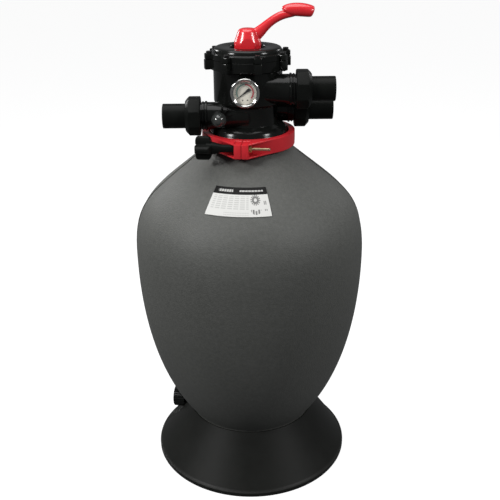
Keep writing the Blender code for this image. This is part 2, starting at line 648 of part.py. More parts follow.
def handle():
    """The red lever: pressed down it lifts the diverter off its gasket, then it is turned."""
    pin = Vector((0.0, 0.0, HANDLE_PIN_Z))
    top = HANDLE_PIN_Z + 0.0275
    hub = turned("handle", [
        (0.0, top - HANDLE_PIN_Z), (0.014, top - 0.001 - HANDLE_PIN_Z), (0.0195, top - 0.005 - HANDLE_PIN_Z),
        (HANDLE_HUB_RADIUS, 0.0), (HANDLE_HUB_RADIUS - 0.001, HANDLE_BOTTOM_Z - HANDLE_PIN_Z),
        (0.0, HANDLE_BOTTOM_Z - HANDLE_PIN_Z)], RED, 24, pin)
    lever = plates("lever", [[
        (-0.016, 0.022), (0.010, 0.0275), (0.022, 0.034), (0.035, 0.044), (0.050, 0.053), (0.065, 0.059),
        (0.074, 0.0645), (0.085, 0.074), (0.098, 0.0755), (0.114, 0.0735), (0.126, 0.068), (0.133, 0.057),
        (0.128, 0.050), (0.112, 0.046), (0.085, 0.045), (0.068, 0.040), (0.055, 0.031), (0.0355, 0.0175),
        (0.0275, 0.008), (0.0245, -0.002), (-0.010, -0.002)]], -0.012, 0.012, None, pin)
    lever.rotation_euler = (pi / 2, 0.0, 0.0)
    join(hub, lever)
    slack = STEM_RADIUS / cos(HANDLE_TILT) + 0.016 * sin(HANDLE_TILT) + RUN
    side = STEM_RADIUS + RUN
    cut(hub, block("stem_slot", (-slack, -side, HANDLE_BOTTOM_Z - HANDLE_PIN_Z - 0.010), (slack, side, 0.0140),
                   None, pin))
    cut(hub, rod("handle_pin_hole", HINGE_PIN + GAP, (0.0, -0.060, 0.0), (0.0, 0.060, 0.0), None, 10, pin))
    reach = 0.0240
    rod("handle_pin", HINGE_PIN, (0.0, -reach, 0.0), (0.0, reach, 0.0), STEEL, 10, pin)


def unions():
    """On each port a pipe tail, the O-ring that it seals on, and the nut that pulls it up."""
    for name, side, y, z, neck, end in PORTS:
        place = (0.0, y, z)
        axis = (side, 0.0, 0.0)
        face = PORT_FACE + GAP
        section = 0.0009
        step = face + 2 * (section + GAP)
        inner = neck - 2 * (section + RUN)
        tail = turned(f"union_tail_{name}", [
            (TAIL_RADIUS, end), (TAIL_RADIUS, face + 0.006), (neck, face + 0.006), (neck, step), (inner, step),
            (inner, face), (PORT_BORE, face), (PORT_BORE, end)], BLACK, 20, place)
        aim(tail, axis)
        ring(f"union_oring_{name}", neck - section - RUN, section,
             (side * (PORT_FACE + GAP + section), y, z), axis, 20, 5)
        corner = NUT_RADIUS / cos(pi / 8)
        nut = cones(f"union_nut_{name}", [((0.0, 0.0, NUT_START), (0.0, 0.0, NUT_END), corner, corner)],
                    BLACK, 8, place)
        nut.data.transform(Matrix.Rotation(pi / 8, 4, "Z"))
        wall = face + 0.006 + GAP
        bore = turned(f"{name}_nut_bore", [
            (0.0, NUT_END + 0.005), (TAIL_RADIUS + RUN, NUT_END + 0.005), (TAIL_RADIUS + RUN, wall),
            (neck + 0.001, wall), (neck + 0.001, NUT_START - 0.005), (0.0, NUT_START - 0.005)], None, 20, place)
        bevel = turned(f"{name}_nut_bevel", [
            (corner + 0.010, NUT_END + 0.010), (corner + 0.010, NUT_END - 0.010), (corner + 0.001, NUT_END - 0.010),
            (TAIL_RADIUS + 0.004, NUT_END), (TAIL_RADIUS + 0.004, NUT_END + 0.010)], None, 20, place)
        for piece in (nut, bore, bevel):
            aim(piece, axis)
        cut(nut, bore)
        cut(nut, bevel)


def gauge():
    """The pressure gauge: a case screwed into the valve, a Bourdon tube, dial, needle and lens."""
    place = Vector((GAUGE_X, 0.0, GAUGE_Z))
    front = (0.0, -1.0, 0.0)
    back = GAUGE_BACK
    rim = back + GAUGE_DEPTH
    wall = 0.0025
    floor = back + 0.003
    case = turned("gauge_case", [
        (0.0, floor), (GAUGE_RADIUS - wall, floor), (GAUGE_RADIUS - wall, rim), (GAUGE_RADIUS, rim),
        (GAUGE_RADIUS, back), (GAUGE_STEM, back), (GAUGE_STEM, back - 0.014), (0.0, back - 0.014)],
        BLACK, 24, place)
    tube = bpy.data.curves.new("gauge_bourdon_tube", "CURVE")
    tube.dimensions = "3D"
    tube.bevel_depth = 0.0013
    tube.bevel_resolution = 0
    tube.use_fill_caps = True
    spline = tube.splines.new("POLY")
    spline.points.add(12)
    for i, point in enumerate(spline.points):
        point.co = (*polar(0.015, radians(-80.0 + 270.0 * i / 12), floor + 0.003), 1.0)
    tube.materials.append(BRASS)
    bourdon = bpy.data.objects.new("gauge_bourdon_tube", tube)
    bourdon.location = place
    parts.objects.link(bourdon)
    dial_low = rim - 0.007
    disc = GAUGE_RADIUS - wall - RUN
    dial = turned("gauge_dial", [
        (disc, dial_low + 0.001), (disc, dial_low), (0.0016, dial_low), (0.0016, dial_low + 0.001)],
        WHITE, 24, place)
    needle = plates("gauge_needle", [[
        (-0.0195, 0.0003), (-0.0195, -0.0003), (0.0, -0.0013), (0.0085, -0.0015), (0.0085, 0.0015), (0.0, 0.0013)]],
        dial_low + 0.0020, dial_low + 0.0026, BLACK, place)
    arbor = cones("needle_arbor", [((0.0, 0.0, dial_low - 0.003), (0.0, 0.0, dial_low + 0.0032), 0.0011, 0.0011)],
                  None, 10, place)
    join(needle, arbor)
    lens = rod("gauge_lens", disc, (0.0, 0.0, rim - 0.0020), (0.0, 0.0, rim), CLEAR, 24, place)
    bezel = turned("gauge_bezel", [
        (GAUGE_RADIUS + 0.001, rim + 0.003), (GAUGE_RADIUS + 0.002, rim + 0.001), (GAUGE_RADIUS + 0.002, rim - 0.009),
        (GAUGE_RADIUS + GAP, rim - 0.009), (GAUGE_RADIUS + GAP, rim + GAP), (GAUGE_RADIUS - 0.0045, rim + GAP),
        (GAUGE_RADIUS - 0.0035, rim + 0.003)], STEEL, 24, place)
    for piece in (case, bourdon, dial, lens, bezel):
        aim(piece, front)
    for piece in (needle, arbor):
        piece.rotation_euler = (pi / 2, -GAUGE_ZERO, 0.0)


def sight_glass():
    """The clear dome on the waste port that shows when backwash water runs clean."""
    place = (SIGHT_X, 0.0, SIGHT_Z)
    front = (0.0, -1.0, 0.0)
    face = SIGHT_FACE + GAP
    dome = turned("sight_glass", [
        (0.0, face + 0.0165), (0.0060, face + 0.0152), (0.0105, face + 0.0115), (0.0128, face + 0.006),
        (0.0130, face + 0.0045), (0.0150, face + 0.0045), (0.0150, face), (0.0130, face),
        (0.0130, face + 0.0022), (0.0095, face + 0.0022), (0.0095, face - 0.011), (0.0075, face - 0.011),
        (0.0085, face + 0.008), (0.0050, face + 0.0125), (0.0, face + 0.0140)], CLEAR, 16, place)
    aim(dome, front)
    ring("sight_glass_oring", 0.0112, 0.0009, (SIGHT_X, -(face + 0.0010), SIGHT_Z), front, 16, 5)


# ---------------------------------------------------------------- the clamp

def clamp():
    """Two grooved half-rings round both flanges, hinged behind and drawn together in front."""
    turn = empty("clamp_frame", CLAMP_TURN)
    middle = TANK_FLANGE_Z + (GAP + VALVE_FLANGE_EXTRA) / 2
    low = middle - CLAMP_HALF_HEIGHT
    high = middle + CLAMP_HALF_HEIGHT
    groove = FLANGE_RADIUS + 2 * GAP

    def wedge(radius):
        """How far from the middle the groove's side lies, just clear of a flange's bevel."""
        rise = (FLANGE_RADIUS - radius) * FLANGE_BEVEL_UP / FLANGE_BEVEL_IN
        return FLANGE_EDGE + (GAP + VALVE_FLANGE_EXTRA) / 2 + rise + 2 * GAP

    section = [
        (CLAMP_RADIUS, high), (CLAMP_RADIUS, low), (CLAMP_LIP, low), (CLAMP_LIP, middle - wedge(CLAMP_LIP)),
        (groove, middle - wedge(groove)), (groove, middle + wedge(groove)),
        (CLAMP_LIP, middle + wedge(CLAMP_LIP)), (CLAMP_LIP, high)]
    half_gap = 0.0005
    lug_end = half_gap + CLAMP_LUG
    plate = 0.003
    edge = radians(42.0)
    knuckle = 0.007
    third = (high - low - 2 * GAP) / 3
    for name, side in (("clamp_left", -1), ("clamp_right", 1)):
        half = turned(name, section, RED, SEGMENTS, parent=turn)
        reach = 0.200

        def span(near, far):
            return (min(side * near, side * far), max(side * near, side * far))

        x0, x1 = span(half_gap, -reach)
        cut(half, block(f"{name}_other_side", (x0, -reach, low - 0.010), (x1, reach, high + 0.010), parent=turn))
        x0, x1 = span(half_gap, lug_end)
        join(half, block(f"{name}_lug", (x0, -CLAMP_LUG_REACH, low), (x1, 0.0045 - CLAMP_RADIUS, high - 0.0015),
                         parent=turn))
        outline = [(side * (lug_end - 0.0005), -CLAMP_LUG_REACH + 0.0005)]
        outer = CLAMP_RADIUS - 0.001
        outline.append((side * outer * sin(edge), -outer * cos(edge)))
        for angle in (edge, radians(26.0), radians(9.5)):
            inner = CLAMP_RADIUS - 0.006
            outline.append((side * inner * sin(angle), -inner * cos(angle)))
        for label, bottom in (("lower", low + 0.0001), ("upper", high - plate - 0.0001)):
            join(half, plates(f"{name}_{label}_gusset", [outline], bottom, bottom + plate, parent=turn))
        cut(half, rod(f"{name}_stud_hole", STUD_RADIUS + 0.0012, (side * -0.005, STUD_Y, STUD_Z),
                      (side * 0.030, STUD_Y, STUD_Z), segments=16, parent=turn))
        x0, x1 = span(half_gap, 0.013)
        levels = ((low + third + GAP, high - third - GAP),) if side < 0 else ((low, low + third), (high - third, high))
        for number, (bottom, top) in enumerate(levels):
            join(half, block(f"{name}_ear_{number}", (x0, CLAMP_RADIUS - 0.0075, bottom), (x1, HINGE_Y, top),
                             parent=turn))
            join(half, rod(f"{name}_knuckle_{number}", knuckle, (0.0, HINGE_Y, bottom + 0.0001),
                           (0.0, HINGE_Y, top - 0.0001), segments=12, parent=turn))
        cut(half, rod(f"{name}_pin_hole", HINGE_PIN + GAP, (0.0, HINGE_Y, low - 0.010),
                      (0.0, HINGE_Y, high + 0.010), segments=10, parent=turn))
    rod("clamp_hinge_pin", HINGE_PIN, (0.0, 0.0, low), (0.0, 0.0, high + 0.001), STEEL, 10,
        (0.0, HINGE_Y, 0.0), turn)
    stud = (0.0, STUD_Y, STUD_Z)
    head = [polar(KNOB_RADIUS + KNOB_LOBE * cos(4 * angle), angle) for angle in around(32)]
    near = lug_end + GAP
    knob = turned("clamp_knob", [
        (0.0, -near), (0.0078, -near), (0.0078, -0.041), (0.0135, -KNOB_NEAR - 0.002),
        (0.0135, -KNOB_NEAR - 0.006), (0.0, -KNOB_NEAR - 0.006)], BLACK, 20, stud, turn)
    lobes = plates("knob_lobes", [head], -KNOB_FAR, -KNOB_NEAR, None, stud, turn)
    bore = rod("knob_bore", STUD_RADIUS + GAP, (0.0, 0.0, -KNOB_NEAR - 0.022), (0.0, 0.0, 0.010), None, 12,
               stud, turn)
    for piece in (knob, lobes, bore):
        aim(piece, (1.0, 0.0, 0.0))
    join(knob, lobes)
    cut(knob, bore)
    rod("clamp_stud", STUD_RADIUS, (-KNOB_NEAR - 0.021, 0.0, 0.0), (STUD_END, 0.0, 0.0), STEEL, 10, stud, turn)
    nut = plates("clamp_nut", [[polar(0.0092, angle) for angle in around(6)]], near, near + 0.008, BRASS,
                 stud, turn)
    nut_bore = rod("clamp_nut_bore", STUD_RADIUS + 0.0010, (0.0, 0.0, near - 0.005), (0.0, 0.0, near + 0.015),
                   None, 12, stud, turn)
    for piece in (nut, nut_bore):
        aim(piece, (1.0, 0.0, 0.0))
    cut(nut, nut_bore)


base_skirt()
tank_shell()
tank_label()
drain()
underdrain()
diffuser()
valve_body()
valve_cover()
diverter()
handle()
unions()
gauge()
sight_glass()
clamp()
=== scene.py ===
import json
from math import cos, pi, radians, sin

import bmesh
import bpy
from mathutils import Matrix, Vector


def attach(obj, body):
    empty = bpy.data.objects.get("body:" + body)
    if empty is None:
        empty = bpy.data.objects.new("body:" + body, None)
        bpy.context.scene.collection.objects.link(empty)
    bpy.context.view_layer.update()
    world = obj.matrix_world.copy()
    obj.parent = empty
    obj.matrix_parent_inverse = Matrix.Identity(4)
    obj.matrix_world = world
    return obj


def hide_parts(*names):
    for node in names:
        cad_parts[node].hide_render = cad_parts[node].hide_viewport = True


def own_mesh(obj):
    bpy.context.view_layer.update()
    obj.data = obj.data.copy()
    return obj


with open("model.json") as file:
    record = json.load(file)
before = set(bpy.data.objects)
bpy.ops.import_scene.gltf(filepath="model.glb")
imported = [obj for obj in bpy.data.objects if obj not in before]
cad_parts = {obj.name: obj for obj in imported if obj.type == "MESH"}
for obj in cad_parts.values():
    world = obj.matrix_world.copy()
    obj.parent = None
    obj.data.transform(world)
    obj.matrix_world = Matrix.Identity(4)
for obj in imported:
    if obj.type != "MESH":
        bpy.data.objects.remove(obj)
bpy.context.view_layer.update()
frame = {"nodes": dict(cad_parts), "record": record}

# ---------------------------------------------------------------- studio
# The filter stands on a round pale floor that curls up far away on every side. Two square softboxes light
# it from the front, two weaker ones from behind, a broad one from above, and the room adds a little fill.

bpy.context.scene.view_settings.view_transform = "Standard"

camera_place = (0.0008, -1.6105, 1.2115)
looks_down = radians(23.62)
roll = radians(-0.557)
bpy.ops.object.select_all(action="DESELECT")
bpy.ops.object.camera_add(location=camera_place)
camera = bpy.context.object
camera.name = "camera"
camera.data.lens = 56.24
camera.data.sensor_width = 36.0
camera.matrix_world = (Matrix.Translation(camera_place) @ Matrix.Rotation(pi / 2 - looks_down, 4, "X")
                       @ Matrix.Rotation(roll, 4, "Z"))
bpy.context.scene.camera = camera

room = bpy.data.worlds.new("room")
room.use_nodes = True
room.node_tree.nodes["Background"].inputs["Color"].default_value = (0.95, 0.97, 1.0, 1.0)
room.node_tree.nodes["Background"].inputs["Strength"].default_value = 0.15
bpy.context.scene.world = room

for name, place, aim, size, power in (
        ("softbox_left", (-1.75, -1.10, 1.85), (0.0, 0.0, 0.70), 0.50, 38.0),
        ("softbox_right", (1.80, -1.10, 1.85), (0.0, 0.0, 0.70), 0.50, 24.0),
        ("softbox_back_left", (-1.80, 1.60, 1.60), (0.0, 0.0, 0.60), 0.60, 17.0),
        ("softbox_back_right", (1.80, 1.60, 1.60), (0.0, 0.0, 0.60), 0.60, 6.0),
        ("softbox_overhead", (-0.2, 0.10, 3.20), (0.0, 0.0, 0.40), 2.40, 60.0)):
    bpy.ops.object.light_add(type="AREA", location=place)
    lamp = bpy.context.object
    lamp.name = name
    lamp.data.size = size
    lamp.data.energy = power
    lamp.rotation_euler = (Vector(aim) - Vector(place)).to_track_quat("-Z", "Y").to_euler()

bpy.ops.object.select_all(action="DESELECT")
floor_radius = 15.0
bpy.ops.mesh.primitive_circle_add(vertices=96, radius=floor_radius, fill_type="NGON")
floor = bpy.context.object
floor.name = "studio_floor"
bpy.ops.object.mode_set(mode="EDIT")
bpy.ops.mesh.select_mode(type="EDGE")
bpy.ops.mesh.select_all(action="SELECT")
bpy.ops.mesh.region_to_loop()
curl_step = 1.2
for step in range(1, 9):
    curl = radians(10.0 * step)
    wider = floor_radius + curl_step * cos(curl)
    bpy.ops.mesh.extrude_region_move(TRANSFORM_OT_translate={"value": (0.0, 0.0, curl_step * sin(curl))})
    bpy.ops.transform.resize(value=(wider / floor_radius, wider / floor_radius, 1.0))
    floor_radius = wider
bpy.ops.object.mode_set(mode="OBJECT")
bpy.ops.object.shade_smooth()
floor.visible_diffuse = floor.visible_glossy = floor.visible_shadow = False
pale = bpy.data.materials.new("pale floor")
pale.use_nodes = True
pale_shader = pale.node_tree.nodes["Principled BSDF"]
pale_shader.inputs["Base Color"].default_value = (0.20, 0.20, 0.20, 1.0)
pale_shader.inputs["Roughness"].default_value = 0.9
pale_shader.inputs["Specular IOR Level"].default_value = 0.0
pale_shader.inputs["Emission Color"].default_value = (1.0, 1.0, 1.0, 1.0)
pale_shader.inputs["Emission Strength"].default_value = 0.93
floor.data.materials.append(pale)

# ---------------------------------------------------------------- base
# The stand is one hollow cone moulded in black polyethylene, with a rolled rim on the floor, a socket
# that the tank drops into, and a round scoop in its side that leaves room for the drain cap.


def alone():
    """Leaves nothing selected, in object mode."""
    if bpy.context.mode != "OBJECT":
        bpy.ops.object.mode_set(mode="OBJECT")
    bpy.ops.object.select_all(action="DESELECT")


def take(piece):
    """Selects one piece and makes it the active one."""
    alone()
    piece.select_set(True)
    bpy.context.view_layer.objects.active = piece
    return piece


def draw(name, points):
    """A chain of edges through the points, pulled out of one vertex. It stays in edit mode."""
    alone()
    bpy.ops.mesh.primitive_plane_add(size=0.001)
    piece = bpy.context.object
    piece.name = piece.data.name = name
    bpy.ops.object.mode_set(mode="EDIT")
    bpy.ops.mesh.select_mode(type="VERT")
    bpy.ops.mesh.select_all(action="SELECT")
    bpy.ops.mesh.merge(type="CENTER")
    bpy.ops.transform.translate(value=points[0])
    for here, there in zip(points, points[1:]):
        bpy.ops.mesh.extrude_region_move(TRANSFORM_OT_translate={"value": Vector(there) - Vector(here)})
    return piece


def close_up(piece):
    """Merges doubled points, turns the faces outwards and goes back to object mode."""
    bpy.ops.mesh.select_all(action="SELECT")
    bpy.ops.mesh.remove_doubles(threshold=0.000002)
    bpy.ops.mesh.normals_make_consistent(inside=False)
    bpy.ops.object.mode_set(mode="OBJECT")
    return piece


def modify(piece, kind, **settings):
    """Adds one modifier and applies it."""
    take(piece)
    modifier = piece.modifiers.new(kind.lower(), kind)
    for key, value in settings.items():
        setattr(modifier, key, value)
    bpy.ops.object.modifier_apply(modifier=modifier.name)
    return piece


def soften(piece, width, segments=2, angle=28.0):
    """Rounds the edges that are sharper than an angle."""
    return modify(piece, "BEVEL", width=width, segments=segments, limit_method="ANGLE",
                  angle_limit=radians(angle), use_clamp_overlap=True)


def turned(name, outline, steps=96, edge=0.0):
    """Spins an outline of (radius, height) points about Z, and rounds its corners."""
    points = [(radius, 0.0, height) for radius, height in outline]
    if outline[0][0] > 0.0:
        points.append(points[0])
    piece = draw(name, points)
    bpy.ops.mesh.select_all(action="SELECT")
    bpy.ops.mesh.spin(steps=steps, angle=2.0 * pi, center=(0.0, 0.0, 0.0), axis=(0.0, 0.0, 1.0))
    close_up(piece)
    if edge:
        soften(piece, edge)
    return piece


def lay(piece, place=(0.0, 0.0, 0.0), direction=(0.0, 0.0, 1.0), turn=0.0):
    """Points a piece's Z along a direction, moves it, turns it about the tank's axis and fixes it there."""
    take(piece)
    aim = Matrix.Identity(4)
    if tuple(direction) != (0.0, 0.0, 1.0):
        aim = Vector(direction).to_track_quat("Z", "Y").to_matrix().to_4x4()
    piece.matrix_world = Matrix.Rotation(turn, 4, "Z") @ Matrix.Translation(place) @ aim
    bpy.ops.object.transform_apply(location=True, rotation=True, scale=True)
    return piece


def merge(piece, other, operation="UNION"):
    """Adds a solid to a piece, or takes it away, and removes the solid."""
    modify(piece, "BOOLEAN", operation=operation, object=other, solver="EXACT")
    bpy.data.objects.remove(other, do_unlink=True)
    return piece


def shade(piece, angle=32.0):
    take(piece)
    bpy.ops.object.shade_smooth_by_angle(angle=radians(angle))
    return piece


def rod(radius, near, far, steps=48, edge=0.0):
    """A round bar along Z."""
    return turned("rod", [(0.0, near), (radius, near), (radius, far), (0.0, far)], steps, edge)


class Wire:
    """A node's socket that can be added, multiplied and compared like a number."""

    def __init__(self, socket):
        self.socket = socket

    def reckon(self, operation, first, second=0.0):
        tree = self.socket.id_data
        node = tree.nodes.new("ShaderNodeMath")
        node.operation = operation
        for socket, value in zip(node.inputs, (first, second)):
            if isinstance(value, Wire):
                tree.links.new(value.socket, socket)
            else:
                socket.default_value = value
        return Wire(node.outputs[0])

    def __add__(self, other): return self.reckon("ADD", self, other)
    def __radd__(self, other): return self.reckon("ADD", other, self)
    def __sub__(self, other): return self.reckon("SUBTRACT", self, other)
    def __rsub__(self, other): return self.reckon("SUBTRACT", other, self)
    def __mul__(self, other): return self.reckon("MULTIPLY", self, other)
    def __rmul__(self, other): return self.reckon("MULTIPLY", other, self)
    def __truediv__(self, other): return self.reckon("DIVIDE", self, other)
    def __lt__(self, other): return self.reckon("LESS_THAN", self, other)
    def __gt__(self, other): return self.reckon("GREATER_THAN", self, other)
    def __abs__(self): return self.reckon("ABSOLUTE", self)


class Finish:
    """A surface finish: a shader, and the nodes that vary it."""

    def __init__(self, name, colour, roughness, **fixed):
        self.material = bpy.data.materials.new(name)
        self.material.use_nodes = True
        self.tree = self.material.node_tree
        self.shader = self.tree.nodes["Principled BSDF"]
        self.shader.inputs["Base Color"].default_value = (*colour, 1.0)
        self.shader.inputs["Roughness"].default_value = roughness
        for key, value in fixed.items():
            self.shader.inputs[key.replace("_", " ")].default_value = value
        self.place = self.node("TexCoord", {}, {}, "Object")

    def node(self, kind, settings, sockets, output=0):
        """Any node, from its type, its settings, its sockets' values or links, and the output wanted."""
        node = self.tree.nodes.new("ShaderNode" + kind)
        for key, value in settings.items():
            if key == "stops":
                ramp = node.color_ramp
                while len(ramp.elements) < len(value):
                    ramp.elements.new(1.0)
                for element, (position, level) in zip(ramp.elements, value):
                    element.position = position
                    element.color = (level, level, level, 1.0)
            else:
                setattr(node, key, value)
        for key, value in sockets.items():
            if isinstance(value, Wire):
                self.tree.links.new(value.socket, node.inputs[key])
            else:
                node.inputs[key].default_value = value
        return Wire(node.outputs[output])

    def noise(self, scale, detail=3.0, stretch=(1.0, 1.0, 1.0)):
        place = self.node("Mapping", {}, {"Vector": self.place, "Scale": stretch})
        return self.node("TexNoise", {}, {"Vector": place, "Scale": scale, "Detail": detail})

    def blend(self, share, first, second):
        """A colour between two others."""
        ends = [value if isinstance(value, Wire) else (*value, 1.0) for value in (first, second)]
        return self.node("Mix", {"data_type": "RGBA"}, {0: share, 6: ends[0], 7: ends[1]}, 2)

    def feed(self, socket, wire):
        self.tree.links.new(wire.socket, self.shader.inputs[socket])

    def relief(self, height, depth, strength=1.0):
        self.feed("Normal", self.node("Bump", {}, {"Strength": strength, "Distance": depth, "Height": height},
                                      "Normal"))


def settle(piece, body, finish, slot, *nodes):
    """Gives a piece its finish, fixes it to a body of the frame and hides the nodes it stands for."""
    piece.data.materials.clear()
    piece.data.materials.append(finish.material)
    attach(piece, body)
    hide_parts(*nodes)
    return piece


base_plastic = Finish("base black", (0.009, 0.0095, 0.0085), 0.46, Specular_IOR_Level=0.22)
mottle = base_plastic.noise(28.0, 4.0)
grain = base_plastic.noise(620.0, 2.0)
base_plastic.feed("Base Color", base_plastic.blend(mottle, (0.007, 0.0075, 0.0065), (0.012, 0.0125, 0.0110)))
base_plastic.feed("Roughness", 0.36 + 0.12 * mottle + 0.10 * grain)
base_plastic.relief(grain + 0.6 * mottle, 0.0004, 0.35)

foot_radius = 0.145
socket_radius = foot_radius + 0.0006
rim_radius = 0.226
scoop_radius = 0.036
trough_radius = 0.040
base = turned("base", [
    (socket_radius + 0.0003, 0.1190), (socket_radius + 0.0026, 0.1188), (socket_radius + 0.0038, 0.1170),
    (0.1545, 0.1085), (0.2195, 0.0150), (0.2220, 0.0118), (0.2256, 0.0100), (rim_radius, 0.0085),
    (rim_radius, 0.0022), (0.2252, 0.0006), (0.2238, 0.0), (0.2182, 0.0), (0.2172, 0.0012), (0.2165, 0.0100),
    (0.1492, 0.1048), (socket_radius + 0.0030, 0.0360), (0.0950, 0.0360), (0.0950, 0.0400),
    (socket_radius, 0.0400)], 144)
drain_turn = radians(169.0)
slope = radians(29.0)
scoop_start = Vector((socket_radius - 0.010, 0.0, 0.110))
down = Vector((cos(slope), 0.0, -sin(slope)))
trough = rod(trough_radius, 0.0, 0.110, 72)
lay(trough, scoop_start, down, drain_turn)
inside = turned("inside", [
    (0.1505, 0.1130), (0.2205, 0.0125), (0.2225, 0.0080), (0.2225, 0.0030), (0.1476, 0.0030)], 144)
merge(trough, inside, "INTERSECT")
merge(base, trough)
scoop = rod(scoop_radius, 0.0, 0.140, 72)
lay(scoop, scoop_start, down, drain_turn)
merge(base, scoop, "DIFFERENCE")
shade(base)
settle(base, "root", base_plastic, "base_black", "base_skirt")

# ---------------------------------------------------------------- tank
# The vessel is blow-moulded in dark grey polyethylene with a fine pebbled skin. A thin raised line shows
# where the two halves of the mould met, and a bevelled flange is formed round the neck for the clamp.


def bend(a, b, c, d, steps):
    """Points of one smooth curve between a and d."""
    a, b, c, d = Vector(a), Vector(b), Vector(c), Vector(d)
    return [tuple(a * (1 - t)**3 + b * 3 * t * (1 - t)**2 + c * 3 * t * t * (1 - t) + d * t**3)
            for t in (i / steps for i in range(steps + 1))]


shoulder_curve = ((0.090, 0.750), (0.207, 0.650), (0.250, 0.641), (0.250, 0.510))
shoulder = bend(*shoulder_curve, 36)
flank = bend(shoulder_curve[3], (0.250, 0.403), (0.233, 0.237), (foot_radius, 0.121), 30)
tank_side = shoulder + flank[1:]
neck_radius = 0.0825
tank = turned("tank", [
    (0.064, 0.770), (0.0876, 0.770), (0.088, 0.7696), (0.088, 0.7654), (0.0877, 0.7648), (neck_radius, 0.7605),
    (neck_radius, 0.7550), (0.0838, 0.7525), *tank_side, (0.1448, 0.118), (0.142, 0.0663), (0.137, 0.0540),
    (0.129, 0.0463), (0.115, 0.0403), (0.0, 0.0403), (0.0, 0.0453), (0.113, 0.0453), (0.137, 0.0673),
    (0.140, 0.1185), *[(radius - 0.005, height - 0.001) for radius, height in reversed(flank[1:-1:3])],
    *[(radius - 0.005, height - 0.002) for radius, height in reversed(shoulder[6::4])], (0.064, 0.750)], 144)
seam_line = [(radius + 0.0006, 0.0, height + 0.0004) for radius, height in tank_side[1:60:2]]
seam_width = 0.0018
for azimuth in (93.0, 273.0):
    strip = draw("seam_line", seam_line)
    bpy.ops.mesh.select_all(action="SELECT")
    bpy.ops.mesh.extrude_region_move(TRANSFORM_OT_translate={"value": (0.0, seam_width, 0.0)})
    bpy.ops.mesh.select_all(action="SELECT")
    bpy.ops.transform.translate(value=(0.0, -seam_width / 2.0, 0.0))
    bpy.ops.object.mode_set(mode="OBJECT")
    modify(strip, "SOLIDIFY", thickness=0.0020, offset=0.0)
    take(strip)
    bpy.ops.object.mode_set(mode="EDIT")
    close_up(strip)
    soften(strip, 0.0005)
    lay(strip, turn=radians(azimuth - 90.0))
    merge(tank, strip)
drain_height = 0.100
drain_hole = rod(0.0174, 0.110, 0.190)
lay(drain_hole, (0.0, 0.0, drain_height), (1.0, 0.0, 0.0), drain_turn)
merge(tank, drain_hole, "DIFFERENCE")
shade(tank)
tank_plastic = Finish("pebbled tank grey", (0.080, 0.082, 0.077), 0.60, Specular_IOR_Level=0.35)
pebble = tank_plastic.node("TexVoronoi", {"feature": "SMOOTH_F1"},
                           {"Vector": tank_plastic.place, "Scale": 420.0, "Smoothness": 0.8}, "Distance")
ripple = tank_plastic.noise(150.0, 5.0)
cloud = tank_plastic.noise(9.0, 4.0)
flow = tank_plastic.noise(22.0, 3.0, (1.0, 1.0, 0.25))
tank_plastic.feed("Base Color", tank_plastic.blend(
    0.15 * cloud + 0.65 * ripple + 0.20 * pebble, (0.050, 0.052, 0.048), (0.118, 0.120, 0.112)))
tank_plastic.feed("Roughness", 0.50 + 0.10 * ripple + 0.10 * flow)
tank_plastic.relief(pebble + 0.8 * ripple, 0.0007, 0.55)
settle(tank, "root", tank_plastic, "tank_grey", "tank_shell")

# ---------------------------------------------------------------- label
# A printed film stuck on the front of the shoulder: a black heading with two bars, faint rows under it, and
# a round badge over a half-round seal on the right. The print is plain marks, with no words.

label_turn = radians(-6.7)
label_half = radians(19.8)
label_low, label_high = 0.660, 0.7055
band = [(radius + 0.0009, 0.0, height + 0.0008) for radius, height in bend(*shoulder_curve, 120)
        if label_low <= height <= label_high][::2]
label = draw("printed_label", band)
bpy.ops.mesh.select_all(action="SELECT")
bpy.ops.mesh.spin(steps=40, angle=2.0 * label_half, center=(0.0, 0.0, 0.0), axis=(0.0, 0.0, 1.0))
close_up(label)
lay(label, turn=-pi / 2 + label_turn + label_half)
modify(label, "SOLIDIFY", thickness=0.0006, offset=0.0)
shade(label)
film = Finish("printed film", (0.60, 0.60, 0.58), 0.42, Specular_IOR_Level=0.12)
across = film.node("SeparateXYZ", {}, {"Vector": film.place}, "X")
depth = film.node("SeparateXYZ", {}, {"Vector": film.place}, "Y")
height = film.node("SeparateXYZ", {}, {"Vector": film.place}, "Z")
azimuth = across.reckon("ARCTAN2", across, 0.0 - depth)
u = (azimuth - (label_turn - label_half)) / (2.0 * label_half)
v = (height - label_low) / (label_high - label_low)


def within(wire, low, high):
    """1 between two values of a wire, 0 outside them."""
    return (wire > low) * (wire < high)


def beat(wire):
    """What is left of a wire after its whole part."""
    return film.node("Math", {"operation": "FRACT"}, {0: wire})


heading = v > 0.77
heading_bars = within(u, 0.09, 0.37) * within(v, 0.85, 0.93) * (beat(u * 21.0) > 0.18)
heading_bars = heading_bars + within(u, 0.49, 0.93) * within(v, 0.865, 0.915) * (beat(u * 17.0) > 0.14)
rows = within(u, 0.05, 0.66) * within(v, 0.30, 0.72) * (beat(v * 15.0) > 0.50) * (beat(u * 10.0) > 0.22)
small_print = within(u, 0.28, 0.66) * within(v, 0.05, 0.24) * (beat(v * 15.0) > 0.55) * (beat(u * 27.0) > 0.12)
badge_x = (u - 0.775) * 2.1
badge_y = v - 0.60
badge = film.node("Math", {"operation": "SQRT"}, {0: badge_x * badge_x + badge_y * badge_y})
ray_count = 14.0
rays = beat(badge_y.reckon("ARCTAN2", badge_y, badge_x) * (ray_count / (2.0 * pi))) > 0.45
badge_print = within(badge, 0.055, 0.120) + within(badge, 0.120, 0.175) * rays
seal_y = v - 0.29
seal = badge_x * badge_x + seal_y * seal_y
seal_print = within(seal, 0.002, 0.028) * (seal_y < 0.0) * (beat(u * 24.0) > 0.35)
marks = within(u, 0.90, 0.955) * (within(v, 0.44, 0.56) + within(v, 0.24, 0.30)) * (beat(u * 40.0) > 0.4)
